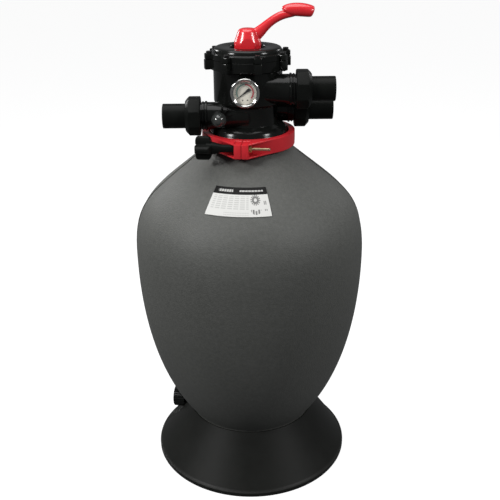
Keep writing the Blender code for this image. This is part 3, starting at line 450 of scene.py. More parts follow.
ink = 0.30 * rows + 0.22 * small_print + 0.85 * badge_print + 0.85 * seal_print + 0.75 * marks
wear = film.noise(90.0, 3.0)
printed = film.blend(ink * (0.75 + 0.25 * wear), (0.60, 0.60, 0.58), (0.03, 0.03, 0.03))
film.feed("Base Color", film.blend(heading - 0.75 * heading_bars, printed, (0.004, 0.004, 0.004)))
film.feed("Roughness", 0.36 + 0.14 * wear)
film.relief(wear, 0.0002, 0.2)
settle(label, "root", film, "label_white", "tank_label")

# ---------------------------------------------------------------- drain
# A short threaded spigot through the foot of the tank, closed by a knurled cap that is screwed on by hand.
# Both are glossy black moulded plastic.


def plate(name, points, low, high, edge=0.0, segments=2):
    """A flat outline in XY, filled and pulled up along Z."""
    piece = draw(name, [(x, y, low) for x, y in points] + [(*points[0], low)])
    bpy.ops.mesh.select_all(action="SELECT")
    bpy.ops.mesh.remove_doubles(threshold=0.000002)
    bpy.ops.mesh.edge_face_add()
    bpy.ops.mesh.extrude_region_move(TRANSFORM_OT_translate={"value": (0.0, 0.0, high - low)})
    close_up(piece)
    if edge:
        soften(piece, edge, segments, 40.0)
    return piece


def polar(radius, angle):
    return (radius * cos(angle), radius * sin(angle))


gloss_black = Finish("gloss black", (0.0055, 0.006, 0.0055), 0.15, Specular_IOR_Level=0.22)
haze = gloss_black.noise(36.0, 4.0)
sink = gloss_black.noise(12.0, 2.0)
dust = gloss_black.noise(900.0, 2.0)
gloss_black.feed("Base Color", gloss_black.blend(haze, (0.0045, 0.005, 0.0045), (0.0075, 0.0082, 0.0075)))
gloss_black.feed("Roughness", 0.10 + 0.08 * haze + 0.05 * dust)
gloss_black.relief(0.8 * sink + 0.1 * dust, 0.0016, 0.10)

grip = []
grip_points = 144
for i in range(grip_points):
    ridge = 0.5 + 0.5 * cos(2.0 * pi * i / 4.0)
    grip.append(polar(0.0258 + 0.0012 * ridge, 2.0 * pi * i / grip_points))
cap = plate("drain_hand_cap", grip, 0.1632, 0.1910, 0.0)
cap_crown = turned("crown", [
    (0.0, 0.1600), (0.0285, 0.1600), (0.0285, 0.1885), (0.0258, 0.1908), (0.0, 0.1916)], 72)
merge(cap, cap_crown, "INTERSECT")
merge(cap, rod(0.0176, 0.155, 0.1872), "DIFFERENCE")
lay(cap, (0.0, 0.0, drain_height), (1.0, 0.0, 0.0), drain_turn)
shade(cap, 28.0)
settle(cap, "drain_cap", gloss_black, "gloss_black", "drain_cap")

# ---------------------------------------------------------------- valve housing
# One glossy black moulding. Its flange sits on the tank's neck, its two stacked chambers hold the diverter
# and the passages under it, and three necks with collars, eight screw lugs and two bosses stand out of it.

valve_foot = 0.7703
seat_height = 0.850
flange_top = 0.935
screw_turns = [-pi / 2 + radians(13.5 + 45.0 * i) for i in range(8)]
screw_places = [polar(0.0800, angle) for angle in screw_turns]
screw_hole = 0.0033
lug_root, lug_reach, lug_half = 0.0690, 0.0895, 0.0075
ports = (("waste", -1, -0.036, 0.8237, 0.0278, 0.1745), ("pump", 1, -0.036, 0.8770, 0.0300, 0.1760),
         ("return", 1, 0.036, 0.8220, 0.0278, 0.1795))
gauge_x, gauge_z = -0.006, 0.882
sight_x, sight_z = -0.059, 0.824


def block(low, high, edge=0.0):
    """A box between two corners, with its edges rounded."""
    alone()
    low, high = Vector(low), Vector(high)
    bpy.ops.mesh.primitive_cube_add(size=1.0, location=(low + high) / 2, scale=high - low)
    piece = bpy.context.object
    bpy.ops.object.transform_apply(location=True, rotation=True, scale=True)
    if edge:
        soften(piece, edge)
    return piece


def sector(inner, outer, middle, half, steps=8):
    """The outline of a piece of a ring."""
    sweep = [middle - half + 2.0 * half * i / steps for i in range(steps + 1)]
    return [polar(outer, angle) for angle in sweep] + [polar(inner, angle) for angle in reversed(sweep)]


housing = turned("valve_housing", [
    (0.0, flange_top), (0.0776, flange_top), (0.078, 0.9346), (0.078, 0.9162), (0.0776, 0.9152), (0.0745, 0.9140),
    (0.0718, 0.9125), (0.0707, 0.9105), (0.0707, 0.8492), (0.0700, 0.8476), (0.0630, 0.8428), (0.0614, 0.8412),
    (0.0610, 0.8390), (0.0610, 0.8052), (0.0616, 0.8035), (0.0632, 0.8026), (0.0700, 0.8006), (0.0745, 0.7984),
    (0.0777, 0.7950), (0.0795, 0.7915), (0.0808, 0.7872), (0.0822, 0.7838), (0.0830, 0.7823), (0.0877, 0.7786),
    (0.0880, 0.7781), (0.0880, 0.7706), (0.0877, valve_foot), (0.0760, valve_foot), (0.0760, 0.7753),
    (0.0700, 0.7753), (0.0700, valve_foot), (0.0, valve_foot)], 120)
for angle in screw_turns:
    merge(housing, lay(block((lug_root, -lug_half, 0.9152), (lug_reach, lug_half, 0.9349), 0.0014), turn=angle))
for name, side, y, z, neck, _ in ports:
    merge(housing, lay(turned("neck", [
        (0.0, 0.0), (neck, 0.0), (neck, 0.0830), (neck + 0.0022, 0.0842), (neck + 0.0022, 0.0872), (neck, 0.0884),
        (neck, 0.0900), (neck + 0.0014, 0.0908), (neck + 0.0014, 0.0932), (neck - 0.0004, 0.0940),
        (neck - 0.0004, 0.1114), (neck - 0.0010, 0.1120), (0.0, 0.1120)], 72), (0.0, y, z), (side, 0.0, 0.0)))
merge(housing, lay(rod(0.0120, 0.050, 0.0760, 40, 0.0008), (gauge_x, 0.0, gauge_z), (0.0, -1.0, 0.0)))
merge(housing, lay(rod(0.0150, 0.040, 0.0710, 48, 0.0006), (sight_x, 0.0, sight_z), (0.0, -1.0, 0.0)))
for tilt in (18.0, 46.0, 74.0):
    web = block((0.012, -0.0655, -0.0011), (0.026, -0.0400, 0.0011), 0.0006)
    take(web)
    bpy.ops.transform.rotate(value=radians(tilt), orient_axis="Y", center_override=(0.0, 0.0, 0.0))
    bpy.ops.transform.translate(value=(sight_x, 0.0, sight_z))
    bpy.ops.object.transform_apply(location=True, rotation=True, scale=True)
    merge(housing, web)
merge(housing, rod(0.0640, seat_height, 0.945, 96), "DIFFERENCE")
merge(housing, turned("passage", [(0.0560, 0.844), (0.0560, 0.760), (0.0293, 0.760), (0.0293, 0.844)], 72),
      "DIFFERENCE")
merge(housing, turned("pipe_socket", [(0.0, 0.760), (0.0253, 0.760), (0.0253, 0.7993), (0.0207, 0.7993),
                                      (0.0207, 0.860), (0.0, 0.860)], 48), "DIFFERENCE")
for angle in range(0, 360, 60):
    merge(housing, plate("window", sector(0.026, 0.053, radians(angle), radians(22.0)), 0.841, 0.853), "DIFFERENCE")
for name, side, y, z, _, _ in ports:
    merge(housing, lay(rod(0.0220, 0.030, 0.150), (0.0, y, z), (side, 0.0, 0.0)), "DIFFERENCE")
merge(housing, lay(rod(0.0065, 0.045, 0.085, 32), (gauge_x, 0.0, gauge_z), (0.0, -1.0, 0.0)), "DIFFERENCE")
merge(housing, lay(rod(0.0100, 0.040, 0.080, 32), (sight_x, 0.0, sight_z), (0.0, -1.0, 0.0)), "DIFFERENCE")
for x, y in screw_places:
    merge(housing, lay(rod(screw_hole, 0.921, 0.945, 16), (x, y, 0.0)), "DIFFERENCE")
shade(housing, 30.0)
settle(housing, "root", gloss_black, "gloss_black", "valve_body")

# ---------------------------------------------------------------- valve cover
# The lid of the valve, moulded in the same black plastic: a low dome with a sunk middle where the handle
# stands, eight lugs over those of the housing, and a deep bearing for the stem of the diverter.

lid_low, lid_high = 0.9353, 0.9468
lid = turned("valve_lid", [
    (0.0615, 0.9570), (0.0645, 0.9566), (0.0672, 0.9552), (0.0688, 0.9530), (0.0694, 0.9500), (0.0698, 0.9478),
    (0.0708, lid_high), (0.0774, lid_high), (0.0780, 0.9462), (0.0780, 0.9359), (0.0774, lid_low),
    (0.0630, lid_low), (0.0630, 0.9323), (0.0598, 0.9323), (0.0598, 0.9283), (0.0630, 0.9283), (0.0630, 0.9253),
    (0.0570, 0.9253), (0.0570, 0.9413), (0.0170, 0.9413), (0.0170, 0.9053), (0.0110, 0.9053), (0.0110, 0.9253),
    (0.0142, 0.9253), (0.0142, 0.9293), (0.0110, 0.9293), (0.0110, 0.9485), (0.0358, 0.9485), (0.0363, 0.9490),
    (0.0366, 0.9545), (0.0374, 0.9562), (0.0392, 0.9570)], 120)
for angle in screw_turns:
    lug = block((lug_root, -lug_half, 0.9354), (lug_reach - 0.0010, lug_half, 0.9466), 0.0016)
    merge(lid, lay(lug, turn=angle))
for x, y in screw_places:
    merge(lid, lay(rod(screw_hole, 0.930, 0.960, 16), (x, y, 0.0)), "DIFFERENCE")
shade(lid, 30.0)
settle(lid, "root", gloss_black, "gloss_black", "valve_cover")

zinc = Finish("zinc plate", (0.56, 0.56, 0.54), 0.30, Metallic=1.0)
spangle = zinc.noise(700.0, 3.0)
zinc.feed("Base Color", zinc.blend(spangle, (0.42, 0.42, 0.41), (0.66, 0.66, 0.64)))
zinc.feed("Roughness", 0.22 + 0.20 * spangle)
zinc.relief(spangle, 0.0001, 0.3)
oxide = Finish("black oxide steel", (0.05, 0.05, 0.05), 0.34, Metallic=1.0)
bluing = oxide.noise(500.0, 3.0)
oxide.feed("Base Color", oxide.blend(bluing, (0.030, 0.030, 0.032), (0.075, 0.074, 0.072)))
oxide.feed("Roughness", 0.28 + 0.20 * bluing)
oxide.relief(bluing, 0.0001, 0.3)
screw = plate("screw", [polar(0.0058, radians(60.0 * i)) for i in range(6)], 0.0, 0.0040)
merge(screw, turned("screw_crown", [(0.0, -0.001), (0.0056, -0.001), (0.0062, 0.0004), (0.0062, 0.0030),
                                    (0.0050, 0.0040), (0.0, 0.0040)], 32), "INTERSECT")
merge(screw, rod(0.0030, -0.0235, 0.0010, 24, 0.0004))
for number, (x, y) in enumerate(screw_places, 1):
    copy = bpy.data.objects.new(f"lid_screw_{number}", screw.data.copy())
    bpy.context.scene.collection.objects.link(copy)
    lay(copy, (x, y, 0.9471))
    shade(copy)
    settle(copy, "root", oxide, "steel", f"cover_screw_{number}")
bpy.data.objects.remove(screw, do_unlink=True)

# ---------------------------------------------------------------- handle
# A lever in glossy red nylon: a stout fork round the stem, a curved arm that grows out of its shoulder and
# a broad thumb pad at the end. It pivots on a steel pin driven in from behind, and its corners are rounded.

pin_height = 0.965
grip_hub = turned("red_handle", [
    (0.0, 0.0275), (0.0120, 0.0270), (0.0165, 0.0252), (0.0192, 0.0222), (0.0235, 0.0105), (0.0270, 0.0012),
    (0.0275, -0.0030), (0.0268, -0.0148), (0.0262, -0.0152), (0.0, -0.0152)], 72)
merge(grip_hub, block((-0.0400, -0.0238, -0.0300), (0.0400, 0.0238, 0.0400)), "INTERSECT")


def swept(name, stations):
    """A closed arm in the XZ plane through stations of (x, z, lean, thickness, width)."""
    x, z, lean, thick, wide = stations[0]
    alone()
    bpy.ops.mesh.primitive_plane_add(size=1.0)
    piece = bpy.context.object
    piece.name = piece.data.name = name
    bpy.ops.object.mode_set(mode="EDIT")
    bpy.ops.mesh.select_mode(type="FACE")
    bpy.ops.mesh.select_all(action="SELECT")
    bpy.ops.transform.resize(value=(wide, thick, 1.0))
    piece.data.update()
    bpy.ops.object.mode_set(mode="OBJECT")
    lay(piece, (x, 0.0, z), (cos(lean), 0.0, sin(lean)))
    bpy.ops.object.mode_set(mode="EDIT")
    bpy.ops.mesh.select_all(action="SELECT")
    for before, after in zip(stations, stations[1:]):
        bpy.ops.mesh.extrude_region_move(TRANSFORM_OT_translate={
            "value": (after[0] - before[0], 0.0, after[1] - before[1])})
        centre = (after[0], 0.0, after[1])
        bend_mesh = bmesh.from_edit_mesh(piece.data)
        spin = Matrix.Rotation(-(after[2] - before[2]), 4, "Y")
        grow = (after[3] / before[3], after[4] / before[4], after[3] / before[3])
        bpy.ops.transform.resize(value=grow, center_override=centre)
        bmesh.ops.transform(bend_mesh, matrix=spin, space=Matrix.Translation(-Vector(centre)),
                            verts=[vertex for vertex in bend_mesh.verts if vertex.select])
        bmesh.update_edit_mesh(piece.data)
    return close_up(piece)


arm = swept("arm", [
    (0.000, 0.0050, radians(36.0), 0.0310, 0.0270), (0.012, 0.0110, radians(40.0), 0.0300, 0.0255),
    (0.024, 0.0195, radians(42.0), 0.0255, 0.0230), (0.035, 0.0300, radians(41.0), 0.0205, 0.0215),
    (0.047, 0.0398, radians(34.0), 0.0185, 0.0215), (0.060, 0.0478, radians(26.0), 0.0185, 0.0225),
    (0.072, 0.0526, radians(18.0), 0.0185, 0.0235), (0.086, 0.0555, radians(10.0), 0.0180, 0.0240),
    (0.100, 0.0570, radians(2.0), 0.0160, 0.0230)])
modify(arm, "SUBSURF", levels=3, render_levels=3)
merge(grip_hub, arm)
pad = swept("pad", [
    (0.0700, 0.0610, radians(40.0), 0.0090, 0.0150), (0.0745, 0.0612, radians(30.0), 0.0215, 0.0280),
    (0.0860, 0.0622, radians(6.0), 0.0275, 0.0340), (0.1020, 0.0622, radians(-5.0), 0.0290, 0.0350),
    (0.1170, 0.0605, radians(-12.0), 0.0280, 0.0340), (0.1285, 0.0580, radians(-18.0), 0.0250, 0.0300),
    (0.1325, 0.0570, radians(-20.0), 0.0190, 0.0220)])
modify(pad, "SUBSURF", levels=3, render_levels=3)
merge(grip_hub, pad)
modify(grip_hub, "REMESH", mode="VOXEL", voxel_size=0.0008, adaptivity=0.0)
modify(grip_hub, "SMOOTH", factor=0.5, iterations=7)
merge(grip_hub, block((-0.01456, -0.0110, -0.0300), (0.01456, 0.0110, 0.0140)), "DIFFERENCE")
merge(grip_hub, lay(rod(0.0033, -0.0222, 0.060, 24), direction=(0.0, 1.0, 0.0)), "DIFFERENCE")
lay(grip_hub, (0.0, 0.0, pin_height))
shade(grip_hub, 50.0)
red = Finish("glossy red", (0.66, 0.018, 0.026), 0.24, Specular_IOR_Level=0.5, Coat_Roughness=0.12)
tint = red.noise(30.0, 3.0)
speck = red.noise(800.0, 2.0)
rub = red.noise(120.0, 5.0)
red.feed("Base Color", red.blend(tint, (0.60, 0.014, 0.020), (0.72, 0.024, 0.034)))
red.feed("Roughness", 0.18 + 0.10 * rub + 0.06 * speck)
red.feed("Coat Weight", 0.30 + 0.20 * tint)
red.relief(tint + 0.08 * speck, 0.0010, 0.12)
settle(grip_hub, "handle", red, "handle_red", "handle")

handle_pin = rod(0.0030, -0.0220, 0.0236, 32, 0.0005)
handle_pin.name = handle_pin.data.name = "handle_cross_pin"
shade(lay(handle_pin, (0.0, 0.0, pin_height), (0.0, 1.0, 0.0)))
settle(handle_pin, "diverter", zinc, "steel", "handle_pin")

# ---------------------------------------------------------------- pressure gauge
# A bottom of black lacquered steel, screwed into the valve, with a bright rolled bezel that holds the glass.
# The printed dial has a green arc and a red one, ticks and two rivets; the needle rests at zero.

front = (0.0, -1.0, 0.0)
gauge_place = (gauge_x, 0.0, gauge_z)
lacquer = Finish("black lacquer", (0.012, 0.012, 0.013), 0.34)
orange = lacquer.noise(500.0, 3.0)
lacquer.feed("Roughness", 0.26 + 0.16 * orange)
lacquer.feed("Base Color", lacquer.blend(orange, (0.010, 0.010, 0.011), (0.018, 0.018, 0.019)))
lacquer.relief(orange, 0.0002, 0.3)
case = turned("gauge_shell", [
    (0.0, 0.0830), (0.0245, 0.0830), (0.0245, 0.0970), (0.0270, 0.0970), (0.0270, 0.0814), (0.0264, 0.0803),
    (0.0252, 0.0800), (0.0060, 0.0800), (0.0060, 0.0660), (0.0, 0.0660)], 72)
shade(lay(case, gauge_place, front))
settle(case, "root", lacquer, "gauge_black", "gauge_case")

bright = Finish("polished steel", (0.55, 0.55, 0.53), 0.14, Metallic=1.0)
buff = bright.noise(60.0, 4.0, (1.0, 1.0, 6.0))
bright.feed("Base Color", bright.blend(buff, (0.48, 0.48, 0.46), (0.62, 0.62, 0.60)))
bright.feed("Roughness", 0.07 + 0.12 * buff)
bezel = turned("gauge_ring", [
    (0.0273, 0.0885), (0.0276, 0.0880), (0.0287, 0.0880), (0.0290, 0.0885), (0.0290, 0.0968), (0.0287, 0.0984),
    (0.0279, 0.0995), (0.0267, 0.1000), (0.0256, 0.0998), (0.0247, 0.0990), (0.0241, 0.0981), (0.0228, 0.0975),
    (0.0225, 0.0973), (0.0273, 0.0973)], 96)
shade(lay(bezel, gauge_place, front), 40.0)
settle(bezel, "root", bright, "polished_steel", "gauge_bezel")

dial_print = Finish("printed dial", (0.95, 0.90, 0.78), 0.5)
east = dial_print.node("SeparateXYZ", {}, {"Vector": dial_print.place}, "X") - gauge_x
north = dial_print.node("SeparateXYZ", {}, {"Vector": dial_print.place}, "Z") - gauge_z
reach = east.reckon("SQRT", east * east + north * north)
bearing = north.reckon("ARCTAN2", north, east)
zero_turn = radians(218.0)
scale_sweep = radians(270.0)
swing = dial_print.node("Math", {"operation": "WRAP"}, {0: zero_turn - bearing, 1: 2.0 * pi, 2: 0.0})


def ticks(count, share):
    """Marks that are evenly spread over the 270 degrees of the scale."""
    turn = dial_print.node("Math", {"operation": "FRACT"}, {0: swing * (count / scale_sweep) + share / 2.0})
    return (turn < share) * (swing < radians(272.0))


green_arc = within(reach, 0.0146, 0.0176) * within(swing, radians(8.0), radians(128.0))
red_arc = within(reach, 0.0146, 0.0176) * within(swing, radians(128.0), radians(262.0))
inner_arc = within(reach, 0.0118, 0.0126) * within(swing, 0.0, scale_sweep)
fine = ticks(50, 0.22) * within(reach, 0.0178, 0.0192)
coarse = ticks(10, 0.10) * within(reach, 0.0178, 0.0206)
rivet_x = abs(east) - 0.0048
rivet_z = north + 0.0150
rivets = (rivet_x * rivet_x + rivet_z * rivet_z) < 0.0000022
fade = dial_print.noise(80.0, 4.0)
paint = dial_print.blend(fade, (0.93, 0.88, 0.75), (0.97, 0.93, 0.82))
paint = dial_print.blend(0.90 * green_arc, paint, (0.18, 0.36, 0.31))
paint = dial_print.blend(0.95 * red_arc, paint, (0.66, 0.07, 0.10))
paint = dial_print.blend(0.35 * inner_arc, paint, (0.30, 0.36, 0.38))
dial_print.feed("Base Color", dial_print.blend(0.85 * (fine + coarse + rivets), paint, (0.03, 0.03, 0.03)))
dial_print.feed("Roughness", 0.42 + 0.12 * fade)
dial = turned("dial_plate", [(0.0016, 0.0900), (0.0240, 0.0900), (0.0240, 0.0910), (0.0016, 0.0910)], 72)
shade(lay(dial, gauge_place, front))
settle(dial, "root", dial_print, "dial_white", "gauge_dial")

pointer_black = Finish("pointer black", (0.012, 0.012, 0.012), 0.45)
stain = pointer_black.noise(900.0, 2.0)
pointer_black.feed("Roughness", 0.38 + 0.16 * stain)
pointer_black.feed("Base Color", pointer_black.blend(stain, (0.008, 0.008, 0.008), (0.016, 0.016, 0.016)))
pointer = plate("pointer", [
    (-0.0195, 0.0004), (-0.0195, -0.0004), (-0.0020, -0.0012), (0.0, -0.0022), (0.0020, -0.0017), (0.0050, -0.0024),
    (0.0105, -0.0027), (0.0118, -0.0018), (0.0118, 0.0018), (0.0105, 0.0027), (0.0050, 0.0024), (0.0020, 0.0017),
    (0.0, 0.0022), (-0.0020, 0.0012)], 0.0920, 0.0926)
merge(pointer, rod(0.0011, 0.0870, 0.0932, 24))
take(pointer)
pointer.matrix_world = (Matrix.Translation(gauge_place) @ Matrix.Rotation(pi - zero_turn, 4, "Y")
                        @ Matrix.Rotation(pi / 2, 4, "X"))
bpy.ops.object.transform_apply(location=True, rotation=True, scale=True)
shade(pointer)
settle(pointer, "gauge_needle", pointer_black, "gauge_black", "gauge_needle")

pane = Finish("clear glass", (0.30, 0.31, 0.31), 0.04, Alpha=0.05)
smear = pane.noise(70.0, 4.0)
pane.feed("Roughness", 0.02 + 0.06 * smear)
pane.feed("Alpha", 0.03 + 0.03 * smear)
glass = turned("gauge_glass", [
    (0.0, 0.0950), (0.0240, 0.0950), (0.0240, 0.0966), (0.0160, 0.0969), (0.0, 0.0970)], 72)
shade(lay(glass, gauge_place, front), 60.0)
settle(glass, "root", pane, "lens_glass", "gauge_lens")

# ---------------------------------------------------------------- sight glass
# A clear moulded dome on the waste neck that shows when the water runs clean. Its ribbed collar is the part
# that the fingers turn, and it screws down on a small O-ring.

clear = Finish("clear plastic", (0.05, 0.055, 0.05), 0.04, Specular_IOR_Level=1.0, Alpha=0.60)
scuff = clear.noise(160.0, 4.0)
clear.feed("Roughness", 0.01 + 0.05 * scuff)
clear.feed("Base Color", clear.blend(scuff, (0.03, 0.034, 0.032), (0.07, 0.075, 0.072)))
clear.feed("Alpha", 0.54 + 0.14 * scuff)
clear.relief(scuff, 0.0002, 0.15)
sight_place = (sight_x, 0.0, sight_z)
dome = turned("sight_dome", [
    (0.0, 0.0878), (0.0032, 0.0874), (0.0060, 0.0865), (0.0085, 0.0849), (0.0105, 0.0828), (0.0119, 0.0803),
    (0.0128, 0.0773), (0.0130, 0.0752), (0.0142, 0.0752), (0.0142, 0.0713), (0.0130, 0.0713), (0.0130, 0.0735),
    (0.0095, 0.0735), (0.0095, 0.0603), (0.0075, 0.0603), (0.0082, 0.0720), (0.0085, 0.0793), (0.0071, 0.0818),
    (0.0050, 0.0838), (0.0025, 0.0850), (0.0, 0.0853)], 64)
rib_points = 96
ribs = []
for i in range(rib_points):
    ribs.append(polar(0.0145 + 0.0006 * (1.0 if i % 4 in (1, 2) else -1.0), 2.0 * pi * i / rib_points))
collar = plate("collar", ribs, 0.0716, 0.0756)
merge(collar, rod(0.0136, 0.060, 0.080, 64), "DIFFERENCE")
merge(dome, collar)
shade(lay(dome, sight_place, front), 40.0)
settle(dome, "root", clear, "clear_plastic", "sight_glass")

# ---------------------------------------------------------------- pipe unions
# Each port ends in a plain black pipe tail, held by an eight-sided nut with a broad chamfer on its outer end.
# The nut is screwed up by hand on the neck and squeezes an O-ring behind the tail's flange.

moulded_black = Finish("moulded black", (0.005, 0.0056, 0.005), 0.30, Specular_IOR_Level=0.07)
satin = moulded_black.noise(48.0, 4.0)
fleck = moulded_black.noise(1100.0, 2.0)
moulded_black.feed("Base Color", moulded_black.blend(satin, (0.0040, 0.0045, 0.0040), (0.0072, 0.0080, 0.0072)))
moulded_black.feed("Roughness", 0.26 + 0.12 * satin + 0.10 * fleck)
moulded_black.relief(fleck + 0.5 * satin, 0.0003, 0.25)

nut_flats = 0.0375
for name, side, y, z, neck, end in ports:
    away = (side, 0.0, 0.0)
    tail = turned(f"{name}_pipe_tail", [
        (0.0220, end - 0.0012), (0.0228, end), (0.0243, end), (0.0250, end - 0.0008), (0.0250, 0.1183),
        (neck - 0.0004, 0.1183), (neck, 0.1179), (neck, 0.1147), (neck - 0.0028, 0.1147), (neck - 0.0028, 0.1123),
        (0.0220, 0.1123)], 72)
    shade(lay(tail, (0.0, y, z), away))
    settle(tail, f"{name}_tail", moulded_black, "gloss_black", f"union_tail_{name}")
    octagon = [polar(nut_flats / cos(pi / 8.0), radians(45.0 * i + 22.5)) for i in range(8)]
    nut = plate("nut", octagon, 0.0970, 0.1280, 0.0016)
    merge(nut, turned("nut_shape", [
        (0.0, 0.0900), (0.0372, 0.0965), (0.0400, 0.0985), (0.0412, 0.1010), (0.0412, 0.1160), (0.0402, 0.1196),
        (0.0330, 0.1262), (0.0310, 0.1276), (0.0285, 0.1290), (0.0, 0.1290)], 96), "INTERSECT")
    merge(nut, turned("nut_bore", [
        (0.0, 0.1330), (0.0262, 0.1330), (0.0255, 0.1268), (0.0255, 0.1186), (neck + 0.0010, 0.1186),
        (neck + 0.0010, 0.0980), (neck + 0.0020, 0.0960), (0.0, 0.0960)], 72), "DIFFERENCE")
    nut.name = nut.data.name = f"{name}_union_nut"
    shade(lay(nut, (0.0, y, z), away), 26.0)
    settle(nut, f"{name}_nut", moulded_black, "gloss_black", f"union_nut_{name}")

# ---------------------------------------------------------------- clamp
# Two red moulded half-rings grip the flanges of tank and valve. They hinge on a steel pin behind the neck, and
# in front a black lobed knob on a threaded stud pulls their lugs together against a brass nut.

clamp_turn = radians(-7.0)
clamp_middle, clamp_low, clamp_high = 0.77165, 0.75665, 0.78665
stud_y, stud_z = -0.112, 0.775
hinge_y = 0.106
clamp_red = Finish("clamp red", (0.56, 0.018, 0.026), 0.32, Specular_IOR_Level=0.45)
streak = clamp_red.noise(40.0, 4.0)
nick = clamp_red.noise(700.0, 3.0)
clamp_red.feed("Base Color", clamp_red.blend(streak, (0.50, 0.014, 0.020), (0.62, 0.022, 0.032)))
clamp_red.feed("Roughness", 0.26 + 0.12 * streak + 0.08 * nick)
clamp_red.relief(nick + 0.8 * streak, 0.0004, 0.25)
ear_height = (clamp_high - clamp_low - 0.0006) / 3.0
for name, side, body in (("left", -1, "root"), ("right", 1, "clamp_right")):
    half = turned(f"clamp_{name}_half", [
        (0.0965, clamp_high), (0.0975, clamp_high - 0.0010), (0.0978, clamp_middle), (0.0975, clamp_low + 0.0010),
        (0.0965, clamp_low), (0.0852, clamp_low), (0.0842, clamp_low + 0.0010), (0.0842, clamp_middle - 0.01036),
        (0.0886, clamp_middle - 0.00676), (0.0886, clamp_middle + 0.00676), (0.0842, clamp_middle + 0.01036),
        (0.0842, clamp_high - 0.0010), (0.0852, clamp_high)], 144)
    ends = sorted((side * 0.0005, -side * 0.2))
    merge(half, block((ends[0], -0.2, clamp_low - 0.01), (ends[1], 0.2, clamp_high + 0.01)), "DIFFERENCE")
    ends = sorted((side * 0.0005, side * 0.0145))
    merge(half, block((ends[0], -0.1240, clamp_low), (ends[1], -0.0930, clamp_high - 0.0015), 0.0008))
    outline = [(side * 0.0140, -0.1235), (side * 0.0965 * sin(radians(42.0)), -0.0965 * cos(radians(42.0)))]
    outline += [(side * 0.0915 * sin(radians(angle)), -0.0915 * cos(radians(angle)))
                for angle in (42.0, 36.0, 31.0, 26.0, 20.0, 14.0, 9.5)]
    for bottom in (clamp_low + 0.0001, clamp_high - 0.0031):
        merge(half, plate("gusset", outline, bottom, bottom + 0.0030, 0.0006))
    merge(half, lay(rod(0.0052, min(side * -0.005, side * 0.030), max(side * -0.005, side * 0.030), 32),
                    (0.0, stud_y, stud_z), (1.0, 0.0, 0.0)), "DIFFERENCE")
    ends = sorted((side * 0.0005, side * 0.0130))
    levels = ((clamp_low + ear_height + 0.0003, clamp_high - ear_height - 0.0003),) if side < 0 else (
        (clamp_low, clamp_low + ear_height), (clamp_high - ear_height, clamp_high))
    for bottom, top in levels:
        merge(half, block((ends[0], 0.090, bottom), (ends[1], hinge_y, top)))
        merge(half, lay(rod(0.0070, bottom + 0.0001, top - 0.0001, 40, 0.0006), (0.0, hinge_y, 0.0)))
    merge(half, lay(rod(0.0033, clamp_low - 0.01, clamp_high + 0.01, 24), (0.0, hinge_y, 0.0)), "DIFFERENCE")
    shade(lay(half, turn=clamp_turn), 30.0)
    settle(half, body, clamp_red, "clamp_red", f"clamp_{name}")

hinge_pin = rod(0.0030, clamp_low, clamp_high + 0.0010, 32, 0.0005)
shade(lay(hinge_pin, (hinge_y * -sin(clamp_turn), hinge_y * cos(clamp_turn), 0.0)))
hinge_pin.name = hinge_pin.data.name = "clamp_pivot"
settle(hinge_pin, "root", zinc, "steel", "clamp_hinge_pin")

knob = turned("clamp_hand_knob", [
    (0.0, -0.0148), (0.0074, -0.0148), (0.0078, -0.0152), (0.0078, -0.0400), (0.0084, -0.0425), (0.0125, -0.0580),
    (0.0135, -0.0630), (0.0135, -0.0700), (0.0, -0.0700)], 72)
lobe_count = 4
lobe_points = 96
lobes = []
for i in range(lobe_points):
    angle = 2.0 * pi * i / lobe_points
    lobes.append(polar(0.0182 + 0.0064 * cos(lobe_count * angle), angle))
head = plate("lobes", lobes, -0.0920, -0.0610)
merge(head, turned("head_shape", [
    (0.0, -0.0600), (0.0150, -0.0606), (0.0205, -0.0626), (0.0240, -0.0662), (0.0252, -0.0710), (0.0252, -0.0840),
    (0.0240, -0.0885), (0.0212, -0.0912), (0.0180, -0.0921), (0.0, -0.0925)], 96), "INTERSECT")
merge(head, turned("head_dish", [
    (0.0, -0.0930), (0.0130, -0.0930), (0.0118, -0.0902), (0.0, -0.0895)], 48), "DIFFERENCE")
merge(knob, head)
merge(knob, rod(0.0033, -0.0830, 0.0100, 32), "DIFFERENCE")
lay(knob, (0.0, stud_y, stud_z), (1.0, 0.0, 0.0))
shade(lay(knob, turn=clamp_turn), 40.0)
settle(knob, "clamp_knob", moulded_black, "gloss_black", "clamp_knob")

pitch = 0.00125
thread_turns = 110
stud = draw("clamp_thread", [
    (0.0025, 0.0, 0.0), (0.0029, 0.0, 0.0004), (0.0030, 0.0, 0.0005), (0.0029, 0.0, 0.0006),
    (0.0025, 0.0, 0.0010), (0.0025, 0.0, pitch)])
bpy.ops.object.mode_set(mode="OBJECT")
modify(stud, "SCREW", angle=2.0 * pi, steps=16, render_steps=16, iterations=thread_turns, screw_offset=pitch,
       axis="Z", use_merge_vertices=True, merge_threshold=0.000002)
take(stud)
bpy.ops.object.mode_set(mode="EDIT")
bpy.ops.mesh.select_all(action="SELECT")
bpy.ops.mesh.remove_doubles(threshold=0.000005)
for end_z in (0.0005, thread_turns * pitch - 0.0005):
    bpy.ops.mesh.select_all(action="DESELECT")
    bpy.ops.mesh.select_mode(type="EDGE")
    thread_mesh = bmesh.from_edit_mesh(stud.data)
    for edge in thread_mesh.edges:
        edge.select_set(edge.is_boundary and abs((edge.verts[0].co.z + edge.verts[1].co.z) / 2 - end_z) < 0.003)
    bmesh.update_edit_mesh(stud.data)
    bpy.ops.mesh.edge_face_add()
close_up(stud)
lay(stud, (-0.0815, stud_y, stud_z), (1.0, 0.0, 0.0))
shade(lay(stud, turn=clamp_turn), 30.0)
brass = Finish("brass", (0.62, 0.44, 0.17), 0.28, Metallic=1.0)
tarnish = brass.noise(260.0, 4.0)
brass.feed("Base Color", brass.blend(tarnish, (0.46, 0.31, 0.12), (0.72, 0.55, 0.26)))
